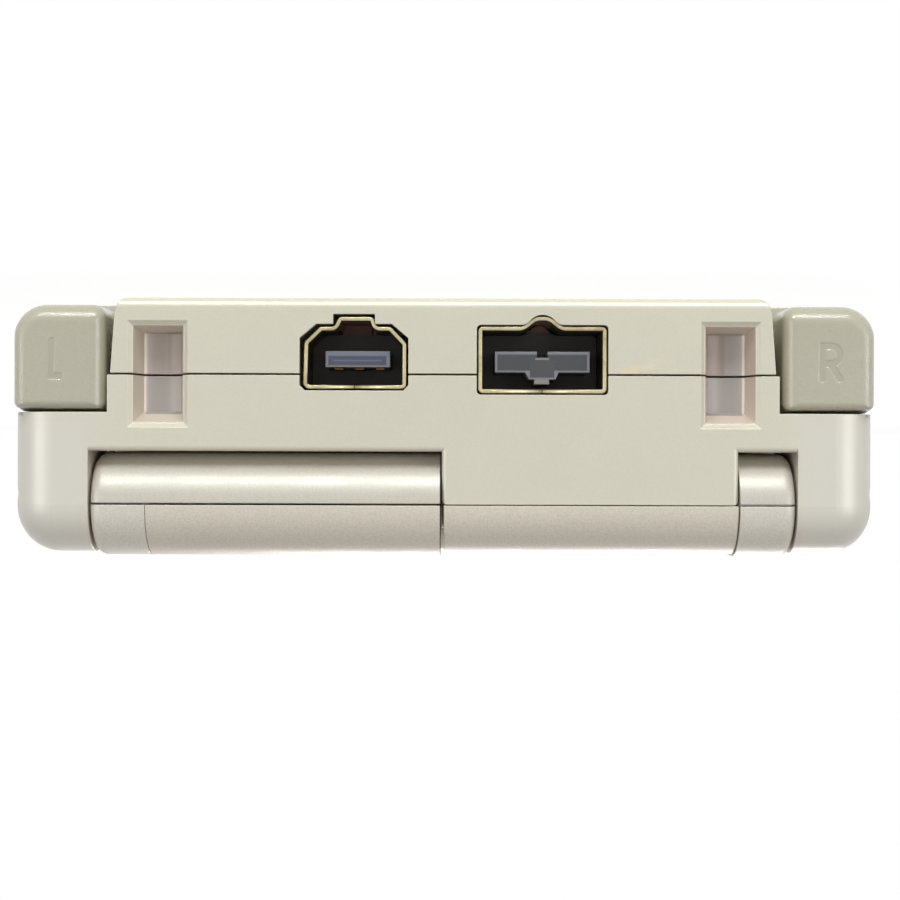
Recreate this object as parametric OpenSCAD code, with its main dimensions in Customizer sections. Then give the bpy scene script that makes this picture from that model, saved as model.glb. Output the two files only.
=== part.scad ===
// Clamshell handheld game console, closed, in millimetres.
// X to the player's right, Y from the front edge to the rear hinge and ports, Z up.
// The origin is the middle of the underside.

/* [Outside] */
// Width over the shells
body_w = 82; // [81.4:0.1:82.6]
// Depth from the front edge to the rear of the lid's knuckles
body_d = 84.6; // [84:0.1:86]
// Height of the closed console
total_h = 24.5; // [24.3:0.1:25.4]
// Radius of the front corners in plan
front_corner_r = 8.5; // [7.5:0.1:9.5]
// Radius of the rear corners in plan, and of the ears' outer edges
rear_corner_r = 4.2; // [3.8:0.1:4.4]
// Fillet along the underside
bottom_fillet = 1; // [0.6:0.1:1.4]
// Fillet along the top of the lid
lid_fillet = 2.2; // [1.6:0.1:2.2]
// Small softening of the other outside edges
soft_edge = 0.5; // [0.3:0.1:0.5]

/* [Levels] */
// Height of the seam between the two base shells
seam_z = 7.25; // [7:0.05:7.4]
// Top of the base's rim
rim_z = 14.5; // [14.4:0.01:14.55]
// Depth of the recessed deck below the rim
deck_recess = 1; // [0.6:0.1:1.1]
// Gap between the base's rim and the lid's rim
lid_gap = 0.3; // [0.25:0.05:0.4]
// Depth of the screen face inside the lid's rim
face_recess = 0.6; // [0.5:0.05:0.7]

/* [Walls] */
// Side wall of every shell
wall = 1.4; // [1.2:0.1:1.6]
// Floor of the base
floor_t = 1.2; // [1:0.1:1.2]
// Thickness of the deck that carries the buttons
deck_t = 1.2; // [1:0.1:1.3]
// Top wall of the lid
lid_top_t = 1.5; // [1.2:0.1:1.7]
// Plate that frames the screen
face_t = 1.6; // [1.5:0.1:1.8]
// Half of a seam between two shells
seam_gap = 0.09; // [0.05:0.01:0.1]

/* [Hinge] */
// Gap between the base's rim and the lid's knuckles
barrel_gap = 0.15; // [0.12:0.01:0.3]
// How much smaller in radius the fixed middle barrel is than the knuckles
centre_step = 0.2; // [0.1:0.01:0.25]
// How much smaller in radius the ears are than the knuckles
ear_step = 0.32; // [0.2:0.01:0.35]
// Width of the left ear
ear_left_w = 7.5; // [7.3:0.05:7.7]
// Width of the right ear
ear_right_w = 7.7; // [7.5:0.05:7.9]
// Left end of the fixed middle barrel
centre_x0 = -0.2; // [-0.35:0.05:0]
// Length of the short knuckle
short_len = 5.3; // [5.1:0.05:5.6]
// Running gap between neighbouring knuckles, along the axis
knuckle_gap = 0.12; // [0.1:0.01:0.2]
// Rounding of the knuckles' outer ends
knuckle_round = 1.1; // [0.8:0.1:1.3]
// Left end of the cover over the long knuckle, from the knuckle's own end
cover_in = 5.3; // [4.4:0.1:6.9]
// Front edge of the cover over the long knuckle, from the hinge axis
cover_front = 2.95; // [2.5:0.05:3.5]
// Clearance of the lid's rear face from the hinge pieces of the base
lid_rear_gap = 0.4; // [0.3:0.05:0.5]
// Radius of the plain hinge pin
pin_r = 1.5; // [1.3:0.05:1.7]
// Wall of the barrels round the friction clutch and the display cable
barrel_wall = 1.75; // [1.6:0.05:1.9]
// Wall of the friction clutch's body round its shaft
clutch_wall = 1.4; // [1.2:0.05:1.6]
// Running clearance of shafts
run = 0.05; // [0.03:0.01:0.08]
// Clearance of fixed pieces in their seats
fit = 0.03; // [0.02:0.01:0.05]

/* [Shoulder buttons] */
// How far the shoulder buttons stand out of the sides
shoulder_out = 0; // [0:0.05:0.2]
// Length of the shoulder buttons along the rear edge
shoulder_len = 9; // [8.8:0.05:9.1]
// Underside of the shoulder buttons
shoulder_z0 = 0.65; // [0.5:0.05:1]
// Top of the shoulder buttons
shoulder_z1 = 10.52; // [10.2:0.01:10.6]
// Depth of the shoulder buttons
shoulder_d = 9.3; // [9.1:0.05:9.5]
// Radius of their outer lower corner
shoulder_corner = 3.4; // [2.8:0.1:3.6]
// Radius of their other corners
shoulder_soft = 1; // [0.6:0.1:1.1]
// Wall of the hollow button
shoulder_wall = 1.3; // [1.1:0.1:1.5]
// Pin, from the button's inner end and from the pocket's front wall
shoulder_pin_in = 1.2; // [1.1:0.05:1.3]
// Radius of the pivot pin
shoulder_pin_r = 0.6; // [0.5:0.05:0.7]
// Gap between the left button and the lower shell
gap_left_low = 0.6; // [0.5:0.05:0.9]
// Gap between the right button and the lower shell
gap_right_low = 0.8; // [0.7:0.05:1.1]
// Gap between the left button and the upper shell
gap_left_up = 0.3; // [0.2:0.05:0.5]
// Gap between the right button and the upper shell
gap_right_up = 0.45; // [0.35:0.05:0.7]
// How far the lower shell's ends slope inwards towards the underside
end_draft = 0.5; // [0.2:0.1:0.7]
// Rounding of the lower shell's ends at the underside
end_round = 1.3; // [0.8:0.1:1.6]
// Gap between the buttons and the front walls of their pockets
gap_front = 1.1; // [1:0.05:1.3]
// Gap between the buttons and the ceilings of their pockets
gap_top = 0.33; // [0.3:0.01:0.5]

/* [Latch pockets] */
// Middle of the left pocket, from the left side
latch_left_side = 14.05; // [13.5:0.05:14.6]
// Middle of the right pocket, from the right side
latch_right_side = 14.03; // [13.5:0.01:14.6]
// Lower edge of the mouths
latch_z0 = 2.6; // [2.3:0.1:3]
// Upper edge of the mouths
latch_z1 = 11.9; // [11.7:0.1:12]
// Width of the mouths
latch_w = 4.9; // [4.6:0.1:5.2]
// Depth of the pockets
latch_depth = 3; // [2.6:0.1:3.2]
// How much the sides and the lower edge draw in towards the back
latch_taper = 0.65; // [0.4:0.05:0.9]
// How much the upper edge draws in towards the back
latch_upper_taper = 1.1; // [0.8:0.1:1.3]
// How far the flare round the mouths reaches
latch_flare = 0.4; // [0.2:0.05:0.5]

/* [Ports] */
// Middle of the link port
link_x = -8.49; // [-9:0.01:-8]
// Half width of the link port's opening
link_half_w = 5.12; // [5:0.02:5.3]
// Upper edge of the link port's opening
link_z1 = 8.77; // [8.6:0.01:9]
// Middle of the power port
power_x = 9.25; // [8.8:0.05:9.6]
// Half width of the power port's opening
power_half_w = 6.19; // [6:0.01:6.3]
// Lower edge of the power port's opening
power_z0 = 2.56; // [2.4:0.01:2.7]
// Upper edge of the power port's opening
power_z1 = 9.13; // [9:0.01:9.2]
// Gap around the metal shells
port_gap = 0.12; // [0.08:0.01:0.2]
// Thickness of the metal shells
port_metal = 0.4; // [0.3:0.05:0.5]
// Length of the ports
port_len = 9.1; // [8.6:0.1:9.2]
// How far the metal lies behind the rear face
port_inset = 0.15; // [0.1:0.05:0.3]

/* [Cartridge] */
// Half width of the slot
slot_half_w = 29.2; // [28.8:0.1:29.4]
// Height of the slot
slot_h = 7.4; // [7.2:0.05:7.4]
// Depth of the slot
slot_d = 35; // [34.5:0.1:35.5]
// Wall of the guide around the slot
guide_t = 0.6; // [0.5:0.05:0.6]
// Depth of the connector behind the slot
connector_d = 5; // [4.5:0.1:5]

/* [Battery] */
// Width of the cell
battery_w = 45; // [43:0.5:45]
// Thickness of the cell
battery_h = 5.5; // [5:0.1:5.6]
// Wall round the battery bay
bay_wall = 1.2; // [1:0.1:1.3]
// Room for the contacts behind the cell
contact_d = 0.9; // [0.7:0.05:1]
// Ledge of the bay that the door rests on
bay_ledge = 0.9; // [0.7:0.1:1]
// Gap around the door
door_gap = 0.15; // [0.1:0.01:0.2]
// Middle of the door's screw, from the side of the door
door_screw_out = 3.2; // [3:0.1:3.6]

/* [Board] */
// Gap between the main board and the side walls
board_gap = 0.8; // [0.7:0.1:1.2]
// Thickness of the main board
board_t = 0.8; // [0.7:0.05:0.8]
// Radius of the posts round the screws
screw_post_r = 2.6; // [2.4:0.1:2.7]
// Middle of the front screws, from the front edge
screw_front_in = 9.3; // [8.9:0.1:10.3]
// Middle of the rear screws, from the shoulder pockets
screw_rear_in = 5.9; // [5.4:0.1:6.9]
// Radius of the screw shanks
screw_r = 0.75; // [0.7:0.05:0.85]
// Radius of the screw heads
screw_head_r = 1.9; // [1.8:0.05:2]

/* [Buttons] */
// Middle of the directional pad, from the left side
dpad_side = 15.5; // [15.2:0.1:16]
// Middle of the directional pad, from the rear end of the recess
dpad_rear = 26.6; // [25.6:0.1:27.6]
// Length of the pad's arms over the two ends
dpad_span = 20; // [19:0.1:20]
// Width of the pad's arms
dpad_arm = 6.5; // [6.2:0.1:6.8]
// Gap around the pad
dpad_gap = 0.45; // [0.45:0.05:0.6]
// Radius of the A and B buttons
action_r = 4.2; // [4:0.05:4.3]
// Middle of the A button, from the right side
a_side = 10; // [9.8:0.1:10.6]
// Middle of the A button, from the rear end of the recess
a_rear = 19; // [18:0.1:20]
// Middle of the B button, from the right side
b_side = 22; // [21.4:0.1:22.6]
// Middle of the B button, from the rear end of the recess
b_rear = 24; // [23:0.1:25]
// Radius of the start and select buttons
menu_r = 2.25; // [2.1:0.05:2.5]
// Distance of the start and select buttons from the middle
menu_x = 6; // [5.5:0.1:7]
// Middle of the start and select buttons, from the front edge
menu_front = 12.3; // [11.3:0.1:13.8]
// Radius of the screen-light button
light_r = 2; // [1.8:0.05:2.2]
// Middle of the screen-light button, from the rear end of the recess
light_rear = 4; // [3.4:0.1:6]
// Top of the pad and of the A and B buttons
button_top_z = 14.25; // [14.1:0.05:14.3]
// Gap around the round buttons
button_gap = 0.15; // [0.1:0.01:0.25]
// Width of the flange that keeps a button in
flange = 0.8; // [0.6:0.05:0.9]
// Travel of the A and B buttons
button_travel = 0.8; // [0.7:0.05:0.8]
// Thickness of the rubber membranes
membrane_t = 0.3; // [0.25:0.01:0.3]

/* [Speaker] */
// Middle of the speaker, from the front edge
speaker_front = 28.3; // [27.3:0.1:29.3]
// Radius of the speaker
speaker_r = 9.8; // [9:0.1:10]
// Radius of each grille hole
grille_hole_r = 0.65; // [0.55:0.05:0.75]
// Distance between neighbouring grille holes
grille_pitch = 2.6; // [2.3:0.1:2.9]

/* [Sliders] */
// Front end of the power switch's slot, from the rear face
power_slot_rear = 34.3; // [33.3:0.1:35.3]
// Travel of the power switch
power_travel = 3; // [2.5:0.1:3]
// Front end of the volume slider's slot, from the rear face
volume_slot_rear = 34.3; // [33.3:0.1:35.3]
// Travel of the volume slider
volume_travel = 5; // [4:0.1:5]
// Length of the sliders' grips
grip_len = 5; // [4.5:0.1:5.5]
// Height of the sliders' grips
grip_h = 2; // [1.8:0.1:2.2]
// How far the grips stand out of the side walls
grip_out = 0.5; // [0.3:0.05:0.55]

/* [Screen] */
// Distance of the lens from the sides of the lid
lens_side = 6; // [5.5:0.1:7]
// Distance of the lens from the front end of the recess
lens_front = 5.8; // [5.3:0.1:6.8]
// Distance of the lens from the rear end of the recess
lens_rear = 7; // [6.5:0.1:8]
// Thickness of the lens
lens_t = 1; // [0.8:0.05:1.05]
// Ledge that the lens rests on
lens_ledge = 3; // [2.5:0.1:3.5]
// Width of the visible picture
picture_w = 61.2; // [60:0.1:62]
// Depth of the visible picture
picture_d = 40.8; // [40:0.1:42]
// Radius of the lid's rubber bumpers
bumper_r = 2.2; // [2:0.05:2.3]

/* [Hidden] */
$fn = 64;
cut = 1;                       // how far a cutting shape runs past a face

half_w = body_w / 2;
front_y = -body_d / 2;
barrel_r = (total_h - rim_z - barrel_gap) / 2;
ear_r = barrel_r - ear_step;
rear_y = body_d / 2 - ear_step;  // rear wall of the base
centre_r = barrel_r - centre_step;
cable_bore_r = barrel_r - barrel_wall;
clutch_body_r = barrel_r - barrel_wall;
clutch_shaft_r = clutch_body_r - clutch_wall;
hinge_y = rear_y - ear_r;
hinge_z = total_h - barrel_r;
lid_rear_y = hinge_y - barrel_r - lid_rear_gap;
lid_rim_z = rim_z + lid_gap;
lid_seam_z = hinge_z - seam_gap;
face_z = lid_rim_z + face_recess;
face_top_z = face_z + face_t;
deck_z = rim_z - deck_recess;
deck_under_z = deck_z - deck_t;
board_z = floor_t + slot_h + guide_t;
board_top_z = board_z + board_t;
board_half_w = half_w - wall - board_gap;

// The recess in the deck and in the lid's face
recess_half_w = half_w - 4;
recess_y0 = front_y + 3.5;
recess_y1 = lid_rear_y - 4.4;
recess_r = 12;
lip_in = 0.5;                  // distance of the closing lip from the recess's edge
lip_t = 0.6;
lip_rise = 0.2;                // how far the lip stands up into the lid's recess

// Ears, knuckles and middle barrel, on the axis
ear_gap = 0.15;
cover_step = 0.2;              // how much shorter the middle barrel's cover is
ear_left_in = half_w - ear_left_w;
ear_right_in = half_w - ear_right_w;
long_x1 = centre_x0 - knuckle_gap;
long_x0 = -ear_left_in + ear_gap;
short_x1 = ear_right_in - ear_gap;
short_x0 = short_x1 - short_len;
centre_x1 = short_x0 - knuckle_gap;
cover_x0 = long_x0 + cover_in;
block_gap = 0.1;               // between the middle barrel's two halves
end_wall = 0.8;                // wall at the ends of the cable cavity
panel_frame = 3;               // frame of the display round its picture
clutch_seat = 7.95;            // length of the shaft's seat in the middle barrel
clutch_x0 = centre_x1 - clutch_seat;

// Shoulder buttons and their pockets
shoulder_span = body_w + 2 * shoulder_out;
shoulder_in = half_w + shoulder_out - shoulder_len;
shoulder_y0 = rear_y - shoulder_d;
pocket_left_low = shoulder_in - gap_left_low;
pocket_right_low = shoulder_in - gap_right_low;
pocket_left_up = shoulder_in - gap_left_up;
pocket_right_up = shoulder_in - gap_right_up;
pocket_y = shoulder_y0 - gap_front;
pocket_z = shoulder_z1 + gap_top;
latch_left_x = latch_left_side - half_w;
latch_right_x = half_w - latch_right_side;

slot_y1 = front_y + slot_d;
slot_top_z = floor_t + slot_h;
guide_side = 1.4;              // thickness of the guide's side walls
connector_gap = 0.1;
connector_y1 = slot_y1 + connector_gap + connector_d;
port_y1 = rear_y - port_inset;
port_y0 = port_y1 - port_len;
port_back = 0.5;

// Battery bay, between the cartridge connector and the ports, and its door
bay_y0 = connector_y1 + 0.5 + bay_wall + bay_ledge;
bay_y1 = port_y0 - 0.15 - (bay_wall - 0.3) - bay_ledge;
cell_gap = 0.2;
battery_d = bay_y1 - bay_y0 - cell_gap - contact_d;
bay_half_w = battery_w / 2 + 0.4;
bay_top_z = floor_t + battery_h + 0.4;
bay_roof_t = 0.9;
door_half_w = bay_half_w + bay_ledge;
door_tab_half = 3.9;
door_screw_x = door_half_w + door_screw_out;
door_screw_y = (bay_y0 + bay_y1) / 2;
door_tab_x1 = door_screw_x + 2.9;
door_post_z = 6.4;             // top of the block that the door's screw goes into

dpad_x = dpad_side - half_w;
dpad_y = recess_y1 - dpad_rear;
action_xy = [
    [half_w - a_side, recess_y1 - a_rear], [half_w - b_side, recess_y1 - b_rear]
];
menu_y = front_y + menu_front;
light_y = recess_y1 - light_rear;
speaker_y = front_y + speaker_front;
button_z0 = board_top_z + membrane_t + button_travel + 0.1;
flange_t = deck_under_z - 0.1 - button_z0;
screw_front_x = (slot_half_w + guide_side + half_w - 0.3) / 2;
screw_front_y = front_y + screw_front_in;
screw_rear_x = door_half_w + bay_wall + screw_post_r + 1.4;
screw_rear_y = pocket_y - screw_rear_in;
screw_xy = [
    [-screw_front_x, screw_front_y], [screw_front_x, screw_front_y],
    [-screw_rear_x, screw_rear_y], [screw_rear_x, screw_rear_y]
];
lid_screw_side = 5;
lid_screw_end = 4.5;
lid_screw_xy = [
    for (x = [lid_screw_side - half_w, half_w - lid_screw_side],
         y = [front_y + lid_screw_end + 0.5, lid_rear_y - lid_screw_end]) [x, y]
];
lid_top_in_z = total_h - lid_top_t;

slider_z = board_top_z + 0.6;  // middle of the power switch and volume slider
power_slot_y = rear_y - power_slot_rear;
volume_slot_y = rear_y - volume_slot_rear;
power_len = grip_len + power_travel;
volume_len = grip_len + volume_travel;
slider_gap = 0.15;
slider_flange = 0.6;

cream = [0.86, 0.84, 0.76];
pearl = [0.90, 0.89, 0.86];
button_grey = [0.73, 0.72, 0.63];
dark = [0.16, 0.16, 0.17];
gold = [0.80, 0.66, 0.32];
steel = [0.72, 0.70, 0.62];

// ---------- shared shapes ----------

// Section through an edge: width outwards, height upwards, rounded on top outside
module edge_section(width, height, r) {
    difference() {
        square([width, height]);
        translate([width - r, height - r]) difference() {
            square([r + cut, r + cut]);
            circle(r);
        }
    }
}

// Flat box with rounded corners in plan and a rounded top edge
module slab(hw, y0, y1, height, r0, r1, edge) {
    x0 = hw - r0;
    x1 = hw - r1;
    run_y = y1 - r1 - y0 - r0;
    translate([-x0, y0 + r0, 0]) cube([2 * x0, run_y, height]);
    for (side = [0, 1]) mirror([side, 0, 0]) {
        translate([x0, y1 - r1, 0]) rotate([90, 0, 0])
            linear_extrude(run_y) edge_section(r0, height, edge);
        translate([x0, y0 + r0, 0]) rotate([0, 0, -90])
            rotate_extrude(angle = 90) edge_section(r0, height, edge);
        translate([x1, y1 - r1, 0])
            rotate_extrude(angle = 90) edge_section(r1, height, edge);
    }
    rotate([0, 0, -90]) translate([-(y0 + r0), x0, 0]) rotate([90, 0, 0])
        linear_extrude(2 * x0) edge_section(r0, height, edge);
    rotate([0, 0, 90]) translate([y1 - r1, x1, 0]) rotate([90, 0, 0])
        linear_extrude(2 * x1) edge_section(r1, height, edge);
}

// Rounded rectangle between two corners
module round_rect(x0, y0, x1, y1, r) {
    translate([x0 + r, y0]) square([x1 - x0 - 2 * r, y1 - y0]);
    translate([x0, y0 + r]) square([x1 - x0, y1 - y0 - 2 * r]);
    for (x = [x0 + r, x1 - r], y = [y0 + r, y1 - r]) translate([x, y]) circle(r);
}

// Half section of a knuckle: radius outwards, length upwards, far end rounded
module knuckle_section(length) {
    edge_section(barrel_r, length, knuckle_round);
}

// A half section on both sides of the axis, the length along x
module both_sides() {
    for (side = [0, 1]) mirror([0, side]) mirror([1, -1]) children();
}

// Ear of the base: half round on top, straight down to the base
module ear(x0, length) {
    translate([x0, hinge_y, hinge_z]) {
        rotate([0, 90, 0]) rotate([0, 0, 90])
            rotate_extrude(angle = 180) edge_section(ear_r, length, rear_corner_r);
        translate([0, 0, deck_z - hinge_z])
            linear_extrude(hinge_z - deck_z) both_sides() edge_section(ear_r, length, rear_corner_r);
    }
}

// Knuckle of the lid: half round at the rear, straight forwards into the lid
module knuckle(x0, length) {
    reach = hinge_y - lid_rear_y + wall + lid_fillet;
    translate([x0, hinge_y, hinge_z]) {
        rotate([0, 90, 0])
            rotate_extrude(angle = 180) knuckle_section(length);
        rotate([90, 0, 0]) linear_extrude(reach) both_sides() knuckle_section(length);
    }
}

module lid_knuckles() {
    mirror([1, 0, 0]) knuckle(-long_x1, long_x1 - long_x0);
    knuckle(short_x0, short_x1 - short_x0);
}

// Cylinder along X, on the hinge axis
module axle(x0, x1, r) {
    translate([x0, hinge_y, hinge_z]) rotate([0, 90, 0]) cylinder(r = r, h = x1 - x0);
}

module post(x, y, z0, z1, r) {
    translate([x, y, z0]) cylinder(r = r, h = z1 - z0);
}

module block(p0, p1) {
    translate(p0) cube(p1 - p0);
}

// ---------- outlines of the ports, in X and Z, drawn in by d ----------

link_tab_half = 1.97;
link_tab_z = 1.58;
link_step_z = 2.51;
link_step_x = 3.55;
link_side_z = 3.84;
link_corner = 0.5;
link_slope = atan2(link_side_z - link_step_z, link_half_w - link_step_x);
power_bump_r = 1.5;
power_bump_z = 3.11;
power_bump_half = 1.99;
power_bump_fillet = 1.06;
power_bump_a = 51;             // angle at which the bump's two arcs meet

function link_half(d) = [
    [link_tab_half - d, link_tab_z + d],
    [link_tab_half - d, link_step_z + d],
    [link_step_x - d * tan(link_slope / 2), link_step_z + d],
    [link_half_w - d, link_side_z + d * tan(45 - link_slope / 2)],
    [link_half_w - d, link_z1 - link_corner - d * tan(22.5)],
    [link_half_w - link_corner - d * tan(22.5), link_z1 - d]
];

module link_outline(d) {
    pts = link_half(d);
    last = len(pts) - 1;
    translate([link_x, 0])
        polygon(concat(pts, [for (i = [last:-1:0]) [-pts[i][0], pts[i][1]]]));
}

module power_outline(d) {
    r = power_bump_r - d;
    edge_z = power_z0 + d + 0.01;
    meet = [r * sin(power_bump_a), power_bump_z - r * cos(power_bump_a)];
    translate([power_x, 0]) {
        round_rect(d - power_half_w, power_z0 + d, power_half_w - d, power_z1 - d, 0.4);
        translate([0, power_bump_z]) circle(r);
        difference() {
            polygon([[-power_bump_half, edge_z], [-meet[0], meet[1]], meet, [power_bump_half, edge_z]]);
            for (side = [-1, 1])
                translate([side * power_bump_half, power_z0 - power_bump_fillet])
                    circle(power_bump_fillet + d);
        }
    }
}

// Stands an outline in X and Z up between two places along Y
module upright(y0, y1) {
    translate([0, y1, 0]) rotate([90, 0, 0]) linear_extrude(y1 - y0) children();
}

// ---------- cuts that both base shells share ----------

module port_cuts() {
    upright(rear_y - wall - cut, rear_y + cut) {
        link_outline(0);
        power_outline(0);
    }
}

// Cut into the rear wall that draws in on all four sides
module tapered_cut(x, half, z0, z1, depth, side_in, high_in) {
    y1 = rear_y - depth;
    intersection() {
        translate([x, 0, z0]) linear_extrude(z1 - z0)
            polygon([[-half, rear_y + 0.01], [half, rear_y + 0.01],
                     [half - side_in, y1], [side_in - half, y1]]);
        translate([x + half, 0, 0]) rotate([90, 0, -90]) linear_extrude(2 * half)
            polygon([[-rear_y - 0.01, z0], [-rear_y - 0.01, z1],
                     [-y1, z1 - high_in], [-y1, z0 + side_in]]);
    }
}

// Pocket with a flared mouth and a hollow back
module latch_pocket(x) {
    half = latch_w / 2;
    back = half - latch_taper;
    y1 = rear_y - latch_depth;
    tapered_cut(x, half, latch_z0, latch_z1, latch_depth, latch_taper, latch_upper_taper);
    tapered_cut(x, half + latch_flare, latch_z0 - latch_flare, latch_z1 + latch_flare,
                0.9 * latch_flare, latch_flare + 0.01, latch_flare + 0.01);
    intersection() {
        post(x, y1 + 2 * back - 0.5, latch_z0 + latch_taper, latch_z1 - latch_upper_taper, 2 * back);
        block([x - back, y1 - cut, 0], [x + back, y1 + 0.02, latch_z1]);
    }
}

module latch_pockets() {
    latch_pocket(latch_left_x);
    latch_pocket(latch_right_x);
}

// Solid stock around the latch pockets, inside the rear wall
module latch_stock() {
    for (x = [latch_left_x, latch_right_x])
        block([x - latch_w / 2 - 0.3, rear_y - latch_depth - 1.6, 0],
              [x + latch_w / 2 + 0.3, rear_y - wall + 0.1, latch_z1 + 1]);
}

module shoulder_pockets(left_in, right_in, z0, z1) {
    block([-half_w - cut, pocket_y, z0], [-left_in, body_d / 2 + cut, z1]);
    block([right_in, pocket_y, z0], [half_w + cut, body_d / 2 + cut, z1]);
}

// Slope and rounding of the lower shell's two ends
module end_trims() {
    for (side = [0, 1]) mirror([side, 0, 0]) {
        x = (side == 1 ? pocket_left_low : pocket_right_low) + 0.01;
        x0 = x - end_draft - end_round;
        upright(pocket_y, rear_y + cut) {
            polygon([[x, -cut], [x, seam_z], [x - end_draft, 0], [x - end_draft, -cut]]);
            difference() {
                translate([x0, -cut]) square([end_round + end_draft, end_round + cut]);
                translate([x0, end_round]) circle(end_round);
            }
        }
    }
}

module cartridge_cut(z0, z1) {
    block([-slot_half_w, front_y - cut, z0], [slot_half_w, front_y + wall + cut, z1]);
}

// Outline of the recess, drawn in by d
module recess_outline(d) {
    round_rect(d - recess_half_w, recess_y0 + d, recess_half_w - d, recess_y1 - d, recess_r - d);
}

// ---------- base shells ----------

module base_cavity(z0, z1) {
    translate([0, 0, z0])
        slab(half_w - wall, front_y + wall, rear_y - wall, z1 - z0,
             front_corner_r - wall, rear_corner_r - wall, soft_edge);
}

module door_outline(gap) {
    round_rect(-door_half_w - gap, bay_y0 - bay_ledge - gap,
               door_half_w + gap, bay_y1 + bay_ledge + gap, 1.5);
    round_rect(0, door_screw_y - door_tab_half - gap,
               door_tab_x1 + gap, door_screw_y + door_tab_half + gap, 3);
}

module base_lower_shell() {
    color(cream) difference() {
        intersection() {
            union() {
                difference() {
                    translate([0, 0, seam_z - seam_gap]) mirror([0, 0, 1])
                        slab(half_w, front_y, rear_y, seam_z - seam_gap,
                             front_corner_r, rear_corner_r, bottom_fillet);
                    base_cavity(floor_t, seam_z + cut);
                }
                block([-door_half_w - bay_wall, bay_y0 - bay_ledge - bay_wall, 0.5],
                      [door_half_w + bay_wall, bay_y1 + bay_ledge + bay_wall - 0.3,
                       bay_top_z + bay_roof_t]);
                block([door_half_w, door_screw_y - door_tab_half - bay_wall, 0.5],
                      [door_tab_x1 + bay_wall, door_screw_y + door_tab_half + bay_wall, door_post_z]);
                for (p = screw_xy) post(p[0], p[1], 0.5, board_z, screw_post_r);
                intersection() {
                    latch_stock();
                    block([-half_w, 0, 0.5], [half_w, rear_y - 0.5, seam_z - seam_gap]);
                }
                shoulder_pocket_walls(0.5, seam_z - seam_gap);
            }
            translate([0, 0, -cut])
                block([-half_w, front_y, 0], [half_w, rear_y, board_z + cut]);
        }
        shoulder_pockets(pocket_left_low, pocket_right_low, -cut, seam_z + cut);
        end_trims();
        translate([0, 0, -cut]) linear_extrude(cut + floor_t) door_outline(door_gap);
        block([-bay_half_w, bay_y0, floor_t - 0.1], [bay_half_w, bay_y1, bay_top_z]);
        post(door_screw_x, door_screw_y, 0, door_post_z - 0.5, screw_r + fit);
        for (p = screw_xy) {
            post(p[0], p[1], -cut, 2, screw_head_r + 0.2);
            post(p[0], p[1], -cut, board_z + cut, screw_r + 0.2);
        }
        cartridge_cut(floor_t, seam_z + cut);
        port_cuts();
        latch_pockets();
    }
}

// Walls round the shoulder pockets, inside the shells
module shoulder_pocket_walls(z0, z1) {
    for (side = [-1, 1]) {
        in = side < 0 ? pocket_left_low : pocket_right_low;
        x = [side * (in - wall), side * (half_w - wall + 0.1)];
        block([min(x), pocket_y - wall, z0], [max(x), rear_y - wall + 0.1, z1]);
    }
}

module button_holes() {
    z = deck_under_z - cut;
    h = deck_t + 2 * cut;
    translate([0, 0, z]) linear_extrude(h) cross_outline(dpad_gap, 0.8);
    for (p = action_xy) post(p[0], p[1], z, z + h, action_r + button_gap);
    for (x = [-menu_x, menu_x]) post(x, menu_y, z, z + h, menu_r + button_gap);
    post(0, light_y, z, z + h, light_r + button_gap);
    for (p = grille_xy) post(p[0], p[1], z, z + h, grille_hole_r);
}

// One hole in the middle, a ring of 6 and a ring of 12
grille_xy = [
    for (ring = [0:2]) for (i = [0:max(1, 6 * ring) - 1])
        [ring * grille_pitch * cos(60 * i / max(1, ring)),
         speaker_y + ring * grille_pitch * sin(60 * i / max(1, ring))]
];

module cross_outline(gap, r) {
    a = dpad_span / 2 + gap;
    b = dpad_arm / 2 + gap;
    translate([dpad_x, dpad_y]) {
        round_rect(-a, -b, a, b, r);
        round_rect(-b, -a, b, a, r);
    }
}

module slider_slot(side, y0, length) {
    x = [side * (half_w - wall - cut), side * (half_w + cut)];
    block([min(x), y0 - slider_gap, slider_z - grip_h / 2 - slider_gap],
          [max(x), y0 + length + slider_gap, slider_z + grip_h / 2 + slider_gap]);
}

// Base's half of the middle barrel, its corners softened
module middle_block() {
    z1 = hinge_z - block_gap;
    intersection() {
        upright(hinge_y - centre_r, rear_y)
            round_rect(centre_x0, deck_z, centre_x1, z1, soft_edge);
        translate([0, 0, deck_z]) linear_extrude(z1 - deck_z)
            round_rect(centre_x0, hinge_y - centre_r, centre_x1, rear_y, soft_edge);
    }
}

// Low lip inside the base's rim that closes the gap under the lid
module closing_lip() {
    translate([0, 0, deck_z - 0.1]) linear_extrude(lid_rim_z + lip_rise - deck_z + 0.1)
        difference() {
            recess_outline(lip_in);
            recess_outline(lip_in + lip_t);
        }
}

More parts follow.
